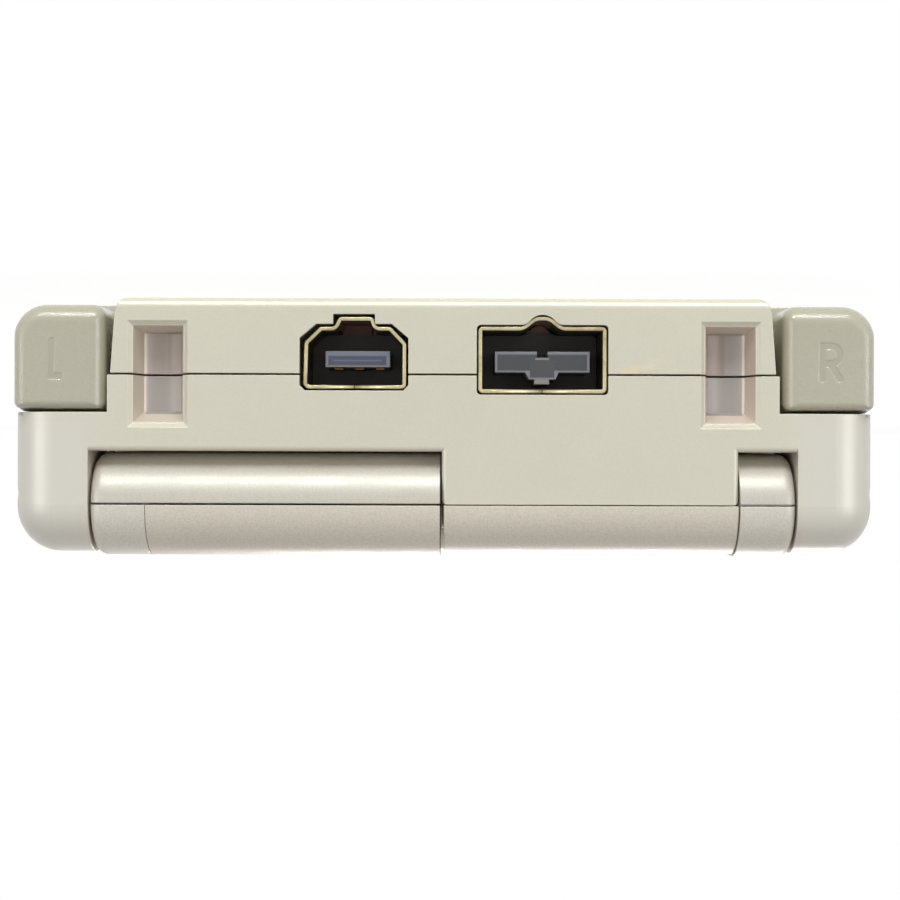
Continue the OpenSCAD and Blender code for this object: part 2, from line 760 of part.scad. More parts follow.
module base_upper_shell() {
    z0 = seam_z + seam_gap;
    color(cream) difference() {
        union() {
            difference() {
                translate([0, 0, z0]) slab(half_w, front_y, rear_y, rim_z - z0,
                    front_corner_r, rear_corner_r, soft_edge);
                base_cavity(z0 - cut, deck_under_z);
                translate([0, 0, deck_z]) linear_extrude(deck_recess + cut) recess_outline(0);
            }
            mirror([1, 0, 0]) ear(ear_left_in, half_w - ear_left_in);
            ear(ear_right_in, half_w - ear_right_in);
            middle_block();
            closing_lip();
            for (p = screw_xy) post(p[0], p[1], board_top_z, deck_z - 0.2, screw_post_r - 0.2);
            intersection() {
                latch_stock();
                block([-half_w, 0, z0], [half_w, rear_y - 0.5, deck_z]);
            }
            shoulder_pocket_walls(z0, deck_z - 0.2);
        }
        shoulder_pockets(pocket_left_up, pocket_right_up, z0 - cut, pocket_z);
        button_holes();
        led_hole();
        slider_slot(1, power_slot_y, power_len);
        slider_slot(-1, volume_slot_y, volume_len);
        for (p = screw_xy) post(p[0], p[1], board_top_z - cut, deck_under_z, screw_r + fit);
        for (side = [-1, 1]) shoulder_pin_seat(side, fit);
        for (side = [-1, 1]) shoulder_plunger(side, 0.15, pocket_y + cut);
        cartridge_cut(z0 - cut, slot_top_z);
        port_cuts();
        latch_pockets();
        hinge_bores();
        cable_slot();
    }
}

// ---------- hinge ----------

cap_r = barrel_r - 2.56;
cap_t = 1.8;

module hinge_bores() {
    axle(-half_w - cut, -half_w + cap_t, cap_r + fit);
    axle(half_w - cap_t, half_w + cut, cap_r + fit);
    axle(-half_w, -ear_left_in + cut, pin_r + fit);
    axle(centre_x0 - cut, clutch_x0, cable_hole_r);
    axle(centre_x0 + end_wall, clutch_x0, cable_bore_r);
    axle(clutch_x0 - cut, half_w - cut, clutch_shaft_r + fit);
}

cable_hole_r = cable_bore_r - 0.6;
cable_r = cable_hole_r - 0.3;
cable_w = 5;
cable_t = 0.2;
cable_x = 3;

// The rounded end of the ear that the cap continues
module cap(x0, length) {
    translate([x0, hinge_y, hinge_z]) rotate([0, 90, 0]) rotate_extrude() intersection() {
        edge_section(ear_r, length, rear_corner_r);
        translate([0, length - cap_t]) square([cap_r, cap_t]);
    }
}

module hinge_caps() {
    color(pearl) {
        mirror([1, 0, 0]) cap(ear_left_in, half_w - ear_left_in);
        cap(ear_right_in, half_w - ear_right_in);
    }
}

// Cover over the fixed middle barrel
module hinge_centre_cover() {
    length = centre_x1 - centre_x0 - cover_step;
    color(cream) difference() {
        translate([centre_x0 + cover_step, hinge_y, hinge_z]) rotate([0, 90, 0]) rotate([0, 0, 90])
            rotate_extrude(angle = 180) square([centre_r, length]);
        axle(centre_x0 - cut, clutch_x0, cable_hole_r);
        axle(centre_x0 + end_wall, clutch_x0, cable_bore_r);
        axle(clutch_x0 - cut, centre_x1 + cut, clutch_shaft_r + fit);
    }
}

// Slot for the display cable's tail, from the middle barrel down into the base
module cable_slot() {
    block([cable_x - 0.2, hinge_y - 0.3, deck_under_z - cut],
          [cable_x + cable_w + 0.2, hinge_y + 0.3, hinge_z - cable_hole_r]);
}

module display_cable_base() {
    color([0.78, 0.52, 0.20]) {
        difference() {
            axle(centre_x0 + 0.05, cable_x + cable_w + 1, cable_r);
            axle(centre_x0 - cut, cable_x + cable_w + 2, cable_r - 2 * cable_t);
        }
        block([cable_x, hinge_y - cable_t / 2, board_z],
              [cable_x + cable_w, hinge_y + cable_t / 2, hinge_z - cable_r + cable_t]);
    }
}

module display_cable_lid() {
    z = lid_seam_z - 0.4;
    color([0.78, 0.52, 0.20]) {
        difference() {
            axle(long_x1 - 9, long_x1 - 0.05, cable_r);
            axle(long_x1 - 10, long_x1 + cut, cable_r - 2 * cable_t);
        }
        block([long_x1 - 3 - cable_w, lens_y + picture_d / 2 + panel_frame + 0.05, z],
              [long_x1 - 3, hinge_y - cable_r + cable_t, z + cable_t]);
    }
}

module hinge_pin() {
    color(steel) axle(-half_w + cap_t, cover_x0, pin_r);
}

module hinge_clutch_shaft() {
    color(steel) axle(clutch_x0 + 0.1, half_w - cap_t, clutch_shaft_r);
}

module hinge_clutch_body() {
    color(steel) difference() {
        axle(short_x0 + 0.1, short_x1 - 0.1, clutch_body_r);
        axle(short_x0 - cut, short_x1 + cut, clutch_shaft_r + run);
    }
}

// ---------- lid ----------

module lid_bores() {
    axle(long_x0 - cut, cover_x0 + cut, pin_r + run);
    axle(cover_x0 + 0.8, long_x1 - end_wall, cable_bore_r);
    axle(long_x1 - end_wall - cut, long_x1 + cut, cable_hole_r);
    axle(short_x0 - cut, short_x1 + cut, clutch_body_r + fit);
}

// Part of the lid above or below the seam between its shells
module above_lid_seam() {
    intersection() {
        children();
        block([-half_w, front_y, lid_seam_z + seam_gap], [half_w, body_d / 2 + cut, total_h + cut]);
    }
}

module below_lid_seam() {
    intersection() {
        children();
        block([-half_w, front_y, 0], [half_w, body_d / 2 + cut, lid_seam_z - seam_gap]);
    }
}

module lid_cavity(z0, z1) {
    translate([0, 0, z0])
        slab(half_w - lid_top_t, front_y + lid_top_t, lid_rear_y - lid_top_t, z1 - z0,
             front_corner_r - lid_top_t, 1, soft_edge);
}

module lid_outer_shell() {
    z0 = lid_seam_z + seam_gap;
    color(pearl) difference() {
        union() {
            difference() {
                union() {
                    translate([0, 0, z0]) slab(half_w, front_y, lid_rear_y, total_h - z0,
                        front_corner_r, lid_fillet, lid_fillet);
                    above_lid_seam() lid_knuckles();
                }
                lid_cavity(z0 - cut, lid_top_in_z);
            }
            for (p = lid_screw_xy) post(p[0], p[1], z0, lid_top_in_z + 0.2, 2.2);
        }
        for (p = lid_screw_xy) post(p[0], p[1], z0 - cut, lid_top_in_z - 0.4, screw_r + fit);
        block([cover_x0 - 0.05, hinge_y - cover_front - 0.05, z0 - cut],
              [long_x1 + cut, body_d / 2 + cut, total_h + cut]);
        lid_bores();
    }
}

module knuckle_cover() {
    color(cream) difference() {
        intersection() {
            lid_knuckles();
            block([cover_x0, hinge_y - cover_front, lid_seam_z + seam_gap],
                  [long_x1, body_d / 2 + cut, total_h + cut]);
        }
        lid_bores();
    }
}

module lid_inner_shell() {
    z1 = lid_seam_z - seam_gap;
    color(pearl) difference() {
        union() {
            difference() {
                union() {
                    translate([0, 0, z1]) mirror([0, 0, 1])
                        slab(half_w, front_y, lid_rear_y, z1 - lid_rim_z,
                             front_corner_r, lid_fillet, soft_edge);
                    below_lid_seam() lid_knuckles();
                }
                lid_cavity(face_top_z, z1 + cut);
                translate([0, 0, lid_rim_z - cut]) linear_extrude(cut + face_recess)
                    recess_outline(0);
            }
            for (p = lid_screw_xy) post(p[0], p[1], face_z, z1, 2.6);
        }
        translate([0, 0, face_z - cut]) linear_extrude(cut + lens_t) lens_outline(0.1);
        translate([0, 0, face_z]) linear_extrude(face_t + cut) lens_outline(-lens_ledge);
        for (p = lid_screw_xy) {
            post(p[0], p[1], lid_rim_z - cut, bumper_top_z, bumper_r + fit);
            post(p[0], p[1], lid_rim_z, bumper_top_z + 1.1, screw_head_r + fit);
            post(p[0], p[1], lid_rim_z, z1 + cut, screw_r + 0.15);
        }
        block([long_x1 - 3.2 - cable_w, lid_rear_y - lid_top_t - cut, z1 - 0.6],
              [long_x1 - 2.8, hinge_y - cable_r + 0.5, z1 + cut]);
        lid_bores();
    }
}

module lens_outline(gap) {
    x = half_w - lens_side + gap;
    round_rect(-x, lens_y0 - gap, x, lens_y1 + gap, 2);
}

lens_y0 = recess_y0 + lens_front;
lens_y1 = recess_y1 - lens_rear;
lens_y = (lens_y0 + lens_y1) / 2;
bumper_top_z = lid_rim_z + 0.7;

module screen_lens() {
    color([0.2, 0.22, 0.24]) translate([0, 0, face_z])
        linear_extrude(lens_t - fit) lens_outline(0);
}

module light_guide() {
    color([0.85, 0.9, 0.92]) block(
        [-picture_w / 2 - 2.5, lens_y - picture_d / 2 - 2.5, face_top_z + fit],
        [picture_w / 2 + 2.5, lens_y + picture_d / 2 + 2.5, face_top_z + fit + 0.8]);
}

module display_panel() {
    color(dark) block(
        [-picture_w / 2 - panel_frame, lens_y - picture_d / 2 - panel_frame, face_top_z + fit + 0.85],
        [picture_w / 2 + panel_frame, lens_y + picture_d / 2 + panel_frame, lid_top_in_z - 0.3]);
}

module lid_bumpers() {
    color(dark) for (p = lid_screw_xy) post(p[0], p[1], rim_z + 0.05, bumper_top_z, bumper_r);
}

module lid_screws() {
    color(steel) for (p = lid_screw_xy) {
        post(p[0], p[1], bumper_top_z + 0.05, bumper_top_z + 1.1, screw_head_r);
        post(p[0], p[1], bumper_top_z + 1, lid_top_in_z - 0.6, screw_r);
    }
}

// ---------- battery ----------

module battery_door() {
    color(cream) difference() {
        linear_extrude(floor_t - seam_gap) door_outline(0);
        post(door_screw_x, door_screw_y, -cut, 0.6, screw_head_r + 0.1);
        post(door_screw_x, door_screw_y, -cut, floor_t + cut, screw_r + 0.1);
    }
}

module battery_door_screw() {
    color(steel) {
        post(door_screw_x, door_screw_y, 0.05, 0.6, screw_head_r);
        post(door_screw_x, door_screw_y, 0.5, door_post_z - 0.7, screw_r);
    }
}

module battery() {
    z0 = floor_t + 0.05;
    color([0.35, 0.37, 0.42]) block([-battery_w / 2, bay_y0 + cell_gap, z0],
        [battery_w / 2, bay_y0 + cell_gap + battery_d, z0 + battery_h]);
}

contact_pitch = 4;

module battery_contacts() {
    y0 = bay_y0 + cell_gap + battery_d + 0.05;
    color(gold) for (x = [-contact_pitch, 0, contact_pitch])
        block([x - 1, y0, floor_t + 1.8], [x + 1, bay_y1 - 0.02, bay_top_z - 0.5]);
}

// ---------- board ----------

module base_screws() {
    color(steel) for (p = screw_xy) {
        post(p[0], p[1], 0.9, 2, screw_head_r);
        post(p[0], p[1], 1.8, deck_under_z - 0.2, screw_r);
    }
}

board_tail_half = 22;          // half width of the board's part between the latch pockets
board_tail_in = 5.6;           // distance of its rear end from the ports' rear end

module main_board() {
    gap = 0.3;
    color([0.12, 0.38, 0.25]) translate([0, 0, board_z]) linear_extrude(board_t) difference() {
        union() {
            round_rect(-board_half_w, front_y + wall + 0.6, board_half_w,
                       pocket_y - wall - gap, 6);
            translate([-board_tail_half, 0]) square([2 * board_tail_half, port_y1 - board_tail_in]);
        }
        for (p = screw_xy) translate(p) circle(screw_r + 0.3);
        translate([0, speaker_y]) circle(speaker_r + gap);
        translate([power_x - power_half_w - gap, rear_y - port_inset - port_len - gap])
            square([2 * (power_half_w + gap), port_len + 2 * gap]);
    }
}

chip_w = 10;                   // side of the largest chip
chip_t = 1;

// Three chips side by side, behind the speaker
module board_chips() {
    y0 = speaker_y + speaker_r + 1.2;
    color(dark) translate([0, y0, board_top_z]) {
        translate([-0.9 * chip_w, 0, 0]) cube([chip_w, chip_w, chip_t]);
        translate([0.2 * chip_w, 0, 0]) cube([0.6 * chip_w, 0.6 * chip_w, 0.9 * chip_t]);
        translate([0.2 * chip_w, 0.7 * chip_w, 0]) cube([0.6 * chip_w, 0.3 * chip_w, 0.8 * chip_t]);
    }
}

module cartridge_guide() {
    x = slot_half_w + guide_side;
    color(cream) difference() {
        block([-x, front_y + wall + 0.1, floor_t + 0.02], [x, slot_y1, board_z - 0.02]);
        block([-slot_half_w, front_y, 0], [slot_half_w, slot_y1 + cut, slot_top_z]);
    }
}

module cartridge_connector() {
    x = slot_half_w - 4.2;
    y0 = slot_y1 + connector_gap;
    color(dark) difference() {
        block([-x, y0, floor_t + 1], [x, connector_y1, board_z - 0.02]);
        block([1.5 - x, y0 - cut, floor_t + 3], [x - 1.5, connector_y1 - 2, floor_t + 4.4]);
    }
}

module speaker() {
    z0 = board_z + 0.1;
    color([0.3, 0.3, 0.32]) {
        post(0, speaker_y, z0, deck_under_z - 1.1, speaker_r - 2);
        difference() {
            post(0, speaker_y, deck_under_z - 1.2, deck_under_z - 0.05, speaker_r);
            post(0, speaker_y, deck_under_z - 0.7, deck_under_z + cut, speaker_r - 1.5);
        }
    }
}

led_x = half_w - 3;
led_y = rear_y - 22.3;

module led_hole() {
    block([led_x - 0.9, led_y - 2.1, deck_under_z - cut], [led_x + 0.9, led_y + 2.1, rim_z + cut]);
}

module led_light_pipe() {
    color([0.85, 0.9, 0.8]) block([led_x - 0.8, led_y - 2, board_top_z],
                                  [led_x + 0.8, led_y + 2, rim_z - 0.05]);
}

// ---------- ports ----------

module link_port_shell() {
    d = port_gap;
    color(steel) difference() {
        upright(port_y0, port_y1) link_outline(d);
        upright(port_y0 + port_back, port_y1 + cut) link_outline(d + port_metal);
    }
}

module power_port_shell() {
    d = port_gap;
    color(steel) difference() {
        upright(port_y0, port_y1) power_outline(d);
        upright(port_y0 + port_back, port_y1 + cut) power_outline(d + port_metal);
    }
}

tongue_end = 1.2;              // how far the tongues end inside the metal
tongue_z = 5;
link_tongue = [link_x - 2.76, link_x + 3.35, tongue_z, tongue_z + 1.5];
power_tongue = [power_x - 4.44, power_x + 4.53, tongue_z, tongue_z + 1.97];

module link_port_core() {
    d = port_gap + port_metal + 0.02;
    t = link_tongue;
    color([0.41, 0.43, 0.47]) {
        upright(port_y0 + port_back, port_y0 + 2.5) link_outline(d);
        block([t[0], port_y0 + 2, t[2]], [t[1], port_y1 - tongue_end, t[3]]);
    }
}

module link_port_contacts() {
    t = link_tongue;
    pitch = 2;
    color(gold) for (i = [0:2], z = [t[2] - 0.15, t[3]])
        block([t[0] + 0.7 + i * pitch, port_y0 + 2.5, z],
              [t[0] + 1.5 + i * pitch, port_y1 - tongue_end - 2.2, z + 0.15]);
}

module power_port_core() {
    d = port_gap + port_metal + 0.02;
    t = power_tongue;
    color([0.3, 0.31, 0.32]) {
        upright(port_y0 + port_back, port_y0 + 2.5) power_outline(d);
        upright(port_y0 + 2, port_y1 - tongue_end) difference() {
            union() {
                translate([t[0], t[2]]) square([t[1] - t[0], t[3] - t[2]]);
                translate([power_x, t[3]]) {
                    polygon([[-1.63, -0.1], [1.65, -0.1], [1.3, 0.67], [-1.21, 0.67]]);
                    translate([-0.71, 0.53]) square([1.41, 0.6]);
                }
            }
            translate([power_x - 0.47, t[2] - cut]) square([1.04, cut + 0.54]);
        }
    }
}

module power_port_contacts() {
    t = power_tongue;
    color(gold) for (dx = [-3.6, -2, 1.4, 3])
        block([power_x + dx - 0.4, port_y0 + 2.5, t[2] - 0.15],
              [power_x + dx + 0.4, port_y1 - tongue_end - 2.2, t[2]]);
}

// ---------- controls ----------

module dome(x, y, r, top_z) {
    h = top_z - 0.05 - board_top_z;
    translate([x, y, board_top_z]) cylinder(r1 = r, r2 = r * 0.75, h = h);
}

dpad_dome = 0.35 * dpad_span;  // distance of the membrane's domes from the pad's middle
dpad_z0 = board_top_z + 0.95;

module dpad_membrane() {
    color([0.55, 0.55, 0.57]) difference() {
        union() {
            post(dpad_x, dpad_y, board_top_z, board_top_z + membrane_t, dpad_span / 2 + 1);
            for (a = [0:90:270])
                dome(dpad_x + dpad_dome * cos(a), dpad_y + dpad_dome * sin(a), 2.2, dpad_z0);
        }
        post(dpad_x, dpad_y, board_top_z - cut, board_top_z + cut, 1.8);
    }
}

module action_membrane() {
    a = action_xy[0];
    b = action_xy[1];
    color([0.55, 0.55, 0.57]) {
        for (p = action_xy) {
            post(p[0], p[1], board_top_z, board_top_z + membrane_t, action_r + flange);
            dome(p[0], p[1], 2.8, button_z0);
        }
        translate([b[0], b[1], board_top_z]) rotate([0, 0, atan2(a[1] - b[1], a[0] - b[0])])
            translate([0, -2, 0]) cube([norm(a - b), 4, membrane_t]);
    }
}

module menu_membrane() {
    color([0.55, 0.55, 0.57]) {
        block([-menu_x, menu_y - 1.5, board_top_z], [menu_x, menu_y + 1.5, board_top_z + membrane_t]);
        for (x = [-menu_x, menu_x]) {
            post(x, menu_y, board_top_z, board_top_z + membrane_t, menu_r + flange);
            dome(x, menu_y, 1.6, button_z0);
        }
        post(0, light_y, board_top_z, board_top_z + membrane_t, light_r + flange);
        dome(0, light_y, 1.5, button_z0);
    }
}

// Round button with a softened top and a flange under the deck
module round_button(x, y, r, top_z) {
    soft = 0.5;
    translate([x, y, button_z0]) rotate_extrude() {
        edge_section(r, top_z - button_z0, soft);
        square([r + flange, flange_t]);
    }
}

module button_a() {
    color(button_grey) round_button(action_xy[0][0], action_xy[0][1], action_r, button_top_z);
}

module button_b() {
    color(button_grey) round_button(action_xy[1][0], action_xy[1][1], action_r, button_top_z);
}

menu_top_z = deck_z + 0.5;

module button_start() {
    color(button_grey) round_button(menu_x, menu_y, menu_r, menu_top_z);
}

module button_select() {
    color(button_grey) round_button(-menu_x, menu_y, menu_r, menu_top_z);
}

module button_light() {
    color(button_grey) round_button(0, light_y, light_r, menu_top_z);
}

// The pad rocks on a ball at its middle
dpad_ball_r = 1.2;
dpad_ball_z = board_top_z + dpad_ball_r + 0.02;

module dpad_pivot() {
    color(steel) translate([dpad_x, dpad_y, dpad_ball_z]) sphere(dpad_ball_r);
}

module dpad() {
    z0 = dpad_z0;
    color(button_grey) difference() {
        union() {
            translate([0, 0, z0]) linear_extrude(button_top_z - z0) cross_outline(0, 0.8);
            translate([0, 0, z0]) linear_extrude(0.3) intersection() {
                cross_outline(dpad_gap + 0.6, 1);
                translate([dpad_x, dpad_y]) circle(dpad_span / 2 + 1);
            }
        }
        translate([dpad_x, dpad_y, dpad_ball_z]) sphere(dpad_ball_r + run);
        translate([dpad_x, dpad_y, button_top_z + 11.4]) sphere(12);
    }
}

// Grip, neck and flange of a slider
module slider_knob(side, y0) {
    inner = half_w - wall - 0.1;
    wide = slider_flange;
    mirror([side < 0 ? 1 : 0, 0, 0]) {
        block([inner - 0.2, y0, slider_z - grip_h / 2],
              [half_w + grip_out, y0 + grip_len, slider_z + grip_h / 2]);
        block([inner - 0.6, y0 - wide, slider_z - grip_h / 2 - 0.4],
              [inner, y0 + grip_len + wide, slider_z + grip_h / 2]);
    }
}

module power_switch_knob() {
    color(button_grey) slider_knob(1, power_slot_y);
}

module volume_slider_knob() {
    color(button_grey) slider_knob(-1, volume_slot_y);
}

module power_switch_body() {
    x1 = half_w - wall - 0.8;
    color(dark) block([x1 - 1.8, power_slot_y - 1, board_top_z],
                      [x1, power_slot_y + power_len + 1, board_top_z + 1.5]);
}

module volume_potentiometer() {
    x1 = half_w - wall - 0.8;
    color(dark) block([-x1, volume_slot_y - 1, board_top_z],
                      [-x1 + 2.4, volume_slot_y + volume_len + 1, board_top_z + 1.5]);
}

// ---------- shoulder buttons ----------

shoulder_pin_x = shoulder_in + shoulder_pin_in;
shoulder_pin_y = shoulder_y0 + 0.6;

module shoulder_pin_seat(side, gap) {
    post(side * shoulder_pin_x, shoulder_pin_y, pocket_z - cut, pocket_z + 0.9, shoulder_pin_r + gap);
}

module shoulder_pins() {
    color(steel) for (side = [-1, 1])
        post(side * shoulder_pin_x, shoulder_pin_y, shoulder_z0 + 1.6, pocket_z + 0.8,
             shoulder_pin_r);
}

// Outside of a shoulder button, rounded in all three views
module shoulder_form(grow) {
    x0 = shoulder_in - grow;
    x1 = shoulder_span / 2 + grow;
    z0 = shoulder_z0 - grow;
    z1 = shoulder_z1 + grow;
    s = shoulder_soft;
    corner = shoulder_corner + grow;
    intersection() {
        upright(shoulder_y0, rear_y + grow) union() {
            round_rect(x0, z0, x0 + 4, z1, s);
            translate([x0 + 2, z0]) square([x1 - corner - x0 - 2, z1 - z0]);
            translate([x0 + 2, z0 + corner]) square([x1 - x0 - 2, z1 - s - z0 - corner]);
            translate([x0 + 2, z1 - s - 0.01]) square([x1 - s - x0 - 2, s + 0.01]);
            translate([x1 - corner, z0 + corner]) circle(corner);
            translate([x1 - s, z1 - s]) circle(s);
        }
        translate([0, 0, z0]) linear_extrude(z1 - z0) union() {
            translate([x0, shoulder_y0]) square([x1 - 2 - x0, rear_y + grow - s - shoulder_y0]);
            translate([x0 + s, shoulder_y0]) square([x1 - 2 - x0 - s, rear_y + grow - shoulder_y0]);
            translate([x0, shoulder_y0]) square([x1 - x0, rear_y + grow - 2 - shoulder_y0]);
            translate([x0 + s, rear_y + grow - s]) circle(s);
            translate([x1 - 2, rear_y + grow - 2]) circle(2);
        }
        translate([x0, 0, 0]) rotate([90, 0, 90]) linear_extrude(x1 - x0) union() {
            translate([shoulder_y0, z0]) square([rear_y + grow - s - shoulder_y0, z1 - z0]);
            translate([shoulder_y0, z0 + s])
                square([rear_y + grow - shoulder_y0, z1 - z0 - 2 * s]);
            for (z = [z0 + s, z1 - s]) translate([rear_y + grow - s, z]) circle(s);
        }
    }
}

module shoulder_button(side) {
    w = shoulder_wall;
    hub_r = shoulder_pin_in;
    spring_z0 = shoulder_z1 - 3.2;
    mirror([side < 0 ? 1 : 0, 0, 0]) difference() {
        union() {
            difference() {
                shoulder_form(0);
                block([shoulder_pin_x + hub_r + 0.3, shoulder_y0 - cut, shoulder_z0 + w],
                      [shoulder_span / 2 - w - 1, rear_y - w - 0.5, shoulder_z1 - w]);
                block([shoulder_in - cut, shoulder_y0 - cut, 0],
                      [shoulder_pin_x, shoulder_pin_y, shoulder_z1 + cut]);
            }
            post(shoulder_pin_x, shoulder_pin_y, shoulder_z0, shoulder_z1, hub_r);
        }
        post(shoulder_pin_x, shoulder_pin_y, shoulder_z0 + 1.5, shoulder_z1 + cut,
             shoulder_pin_r + run);
        block([shoulder_in - cut, shoulder_y0 - cut, spring_z0],
              [shoulder_pin_x + hub_r + 0.5, shoulder_pin_y + hub_r + 0.2, spring_z0 + 1.6]);
    }
}

module shoulder_button_left() {
    color(button_grey) shoulder_button(-1);
}

module shoulder_button_right() {
    color(button_grey) shoulder_button(1);
}

// Coil of the return spring round the pin, with one leg on the wall and one on the button
module shoulder_springs() {
    z = shoulder_z1 - 3;
    wire = 0.3;
    color(steel) for (side = [0, 1]) mirror([side, 0, 0]) {
        difference() {
            post(shoulder_pin_x, shoulder_pin_y, z, z + 1.2, shoulder_pin_r + 0.4);
            post(shoulder_pin_x, shoulder_pin_y, z - cut, z + 1.2 + cut, shoulder_pin_r + run);
        }
        block([shoulder_pin_x + 0.3, pocket_y + 0.05, z],
              [shoulder_pin_x + 0.3 + wire, shoulder_pin_y - shoulder_pin_r, z + wire]);
    }
}

switch_x = half_w - 3.4;
switch_z = board_z - 0.7;

module shoulder_plunger(side, gap, y1) {
    translate([side * switch_x, y1, switch_z]) rotate([90, 0, 0])
        cylinder(r = 0.45 + gap, h = y1 - pocket_y + wall + 0.4);
}

module shoulder_switches() {
    y1 = pocket_y - wall - 0.1;
    color(dark) for (side = [-1, 1]) {
        block([side * switch_x - 1.2, y1 - 3, switch_z - 0.68],
              [side * switch_x + 1.2, y1, board_z - 0.02]);
        shoulder_plunger(side, 0, pocket_y + 0.4);
    }
}

base_lower_shell();
base_upper_shell();
hinge_centre_cover();
hinge_caps();
battery_door();
battery_door_screw();
battery();
battery_contacts();
base_screws();
main_board();
board_chips();
cartridge_guide();
cartridge_connector();
speaker();
led_light_pipe();
link_port_shell();
link_port_core();
link_port_contacts();
power_port_shell();
power_port_core();
power_port_contacts();
dpad_membrane();
action_membrane();
menu_membrane();
shoulder_pins();
shoulder_springs();
shoulder_switches();
power_switch_body();
volume_potentiometer();
hinge_pin();
hinge_clutch_shaft();
display_cable_base();
lid_outer_shell();
lid_inner_shell();
knuckle_cover();
screen_lens();
light_guide();
display_panel();
lid_bumpers();
lid_screws();
hinge_clutch_body();
display_cable_lid();
shoulder_button_left();
shoulder_button_right();
dpad_pivot();
dpad();
button_a();
button_b();
button_start();
button_select();
button_light();
power_switch_knob();
volume_slider_knob();
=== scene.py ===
"""Looks of a clamshell handheld game console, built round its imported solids.

Lengths are in metres. X runs to the player's right, Y to the rear edge with its hinge and
ports, and Z up through the lid. The console stands closed on the floor at Z = 0.
"""

from __future__ import annotations

import logging
import math
from collections.abc import Sequence
from dataclasses import dataclass, field, replace
from enum import Enum
from functools import cached_property

import bpy
import numpy as np
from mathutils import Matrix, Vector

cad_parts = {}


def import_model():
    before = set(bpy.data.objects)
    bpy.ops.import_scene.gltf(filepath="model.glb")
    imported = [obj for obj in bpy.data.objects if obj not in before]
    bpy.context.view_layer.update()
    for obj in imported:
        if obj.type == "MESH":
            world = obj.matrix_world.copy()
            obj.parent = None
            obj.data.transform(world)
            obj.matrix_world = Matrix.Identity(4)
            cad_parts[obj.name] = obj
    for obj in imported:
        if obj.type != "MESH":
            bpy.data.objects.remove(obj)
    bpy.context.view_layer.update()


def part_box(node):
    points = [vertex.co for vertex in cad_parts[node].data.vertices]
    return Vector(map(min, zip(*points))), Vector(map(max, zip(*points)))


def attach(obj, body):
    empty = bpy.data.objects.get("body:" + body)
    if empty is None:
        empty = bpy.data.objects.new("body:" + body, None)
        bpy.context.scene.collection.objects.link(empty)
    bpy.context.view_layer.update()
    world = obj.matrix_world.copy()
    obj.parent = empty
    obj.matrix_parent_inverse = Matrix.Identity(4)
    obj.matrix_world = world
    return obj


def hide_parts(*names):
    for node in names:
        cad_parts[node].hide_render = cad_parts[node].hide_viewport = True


LOG = logging.getLogger("console")
MM = 0.001
WHITE = (1.0, 1.0, 1.0, 1.0)
Colour = tuple[float, float, float]
Point = tuple[float, float, float]
Socket = bpy.types.NodeSocket


def linear(colour: Colour) -> tuple[float, float, float, float]:
    """Turns a screen colour of 0 to 255 into the linear colour that a shader takes.

    Args:
        colour: Red, green and blue as a screen shows them.

    Returns:
        The linear colour with an alpha of 1.
    """
    share = np.asarray(colour, float) / 255
    flat = np.where(share <= 0.04045, share / 12.92, ((share + 0.055) / 1.055) ** 2.4)
    return (float(flat[0]), float(flat[1]), float(flat[2]), 1.0)


# ---------------------------------------------------------------- finishes


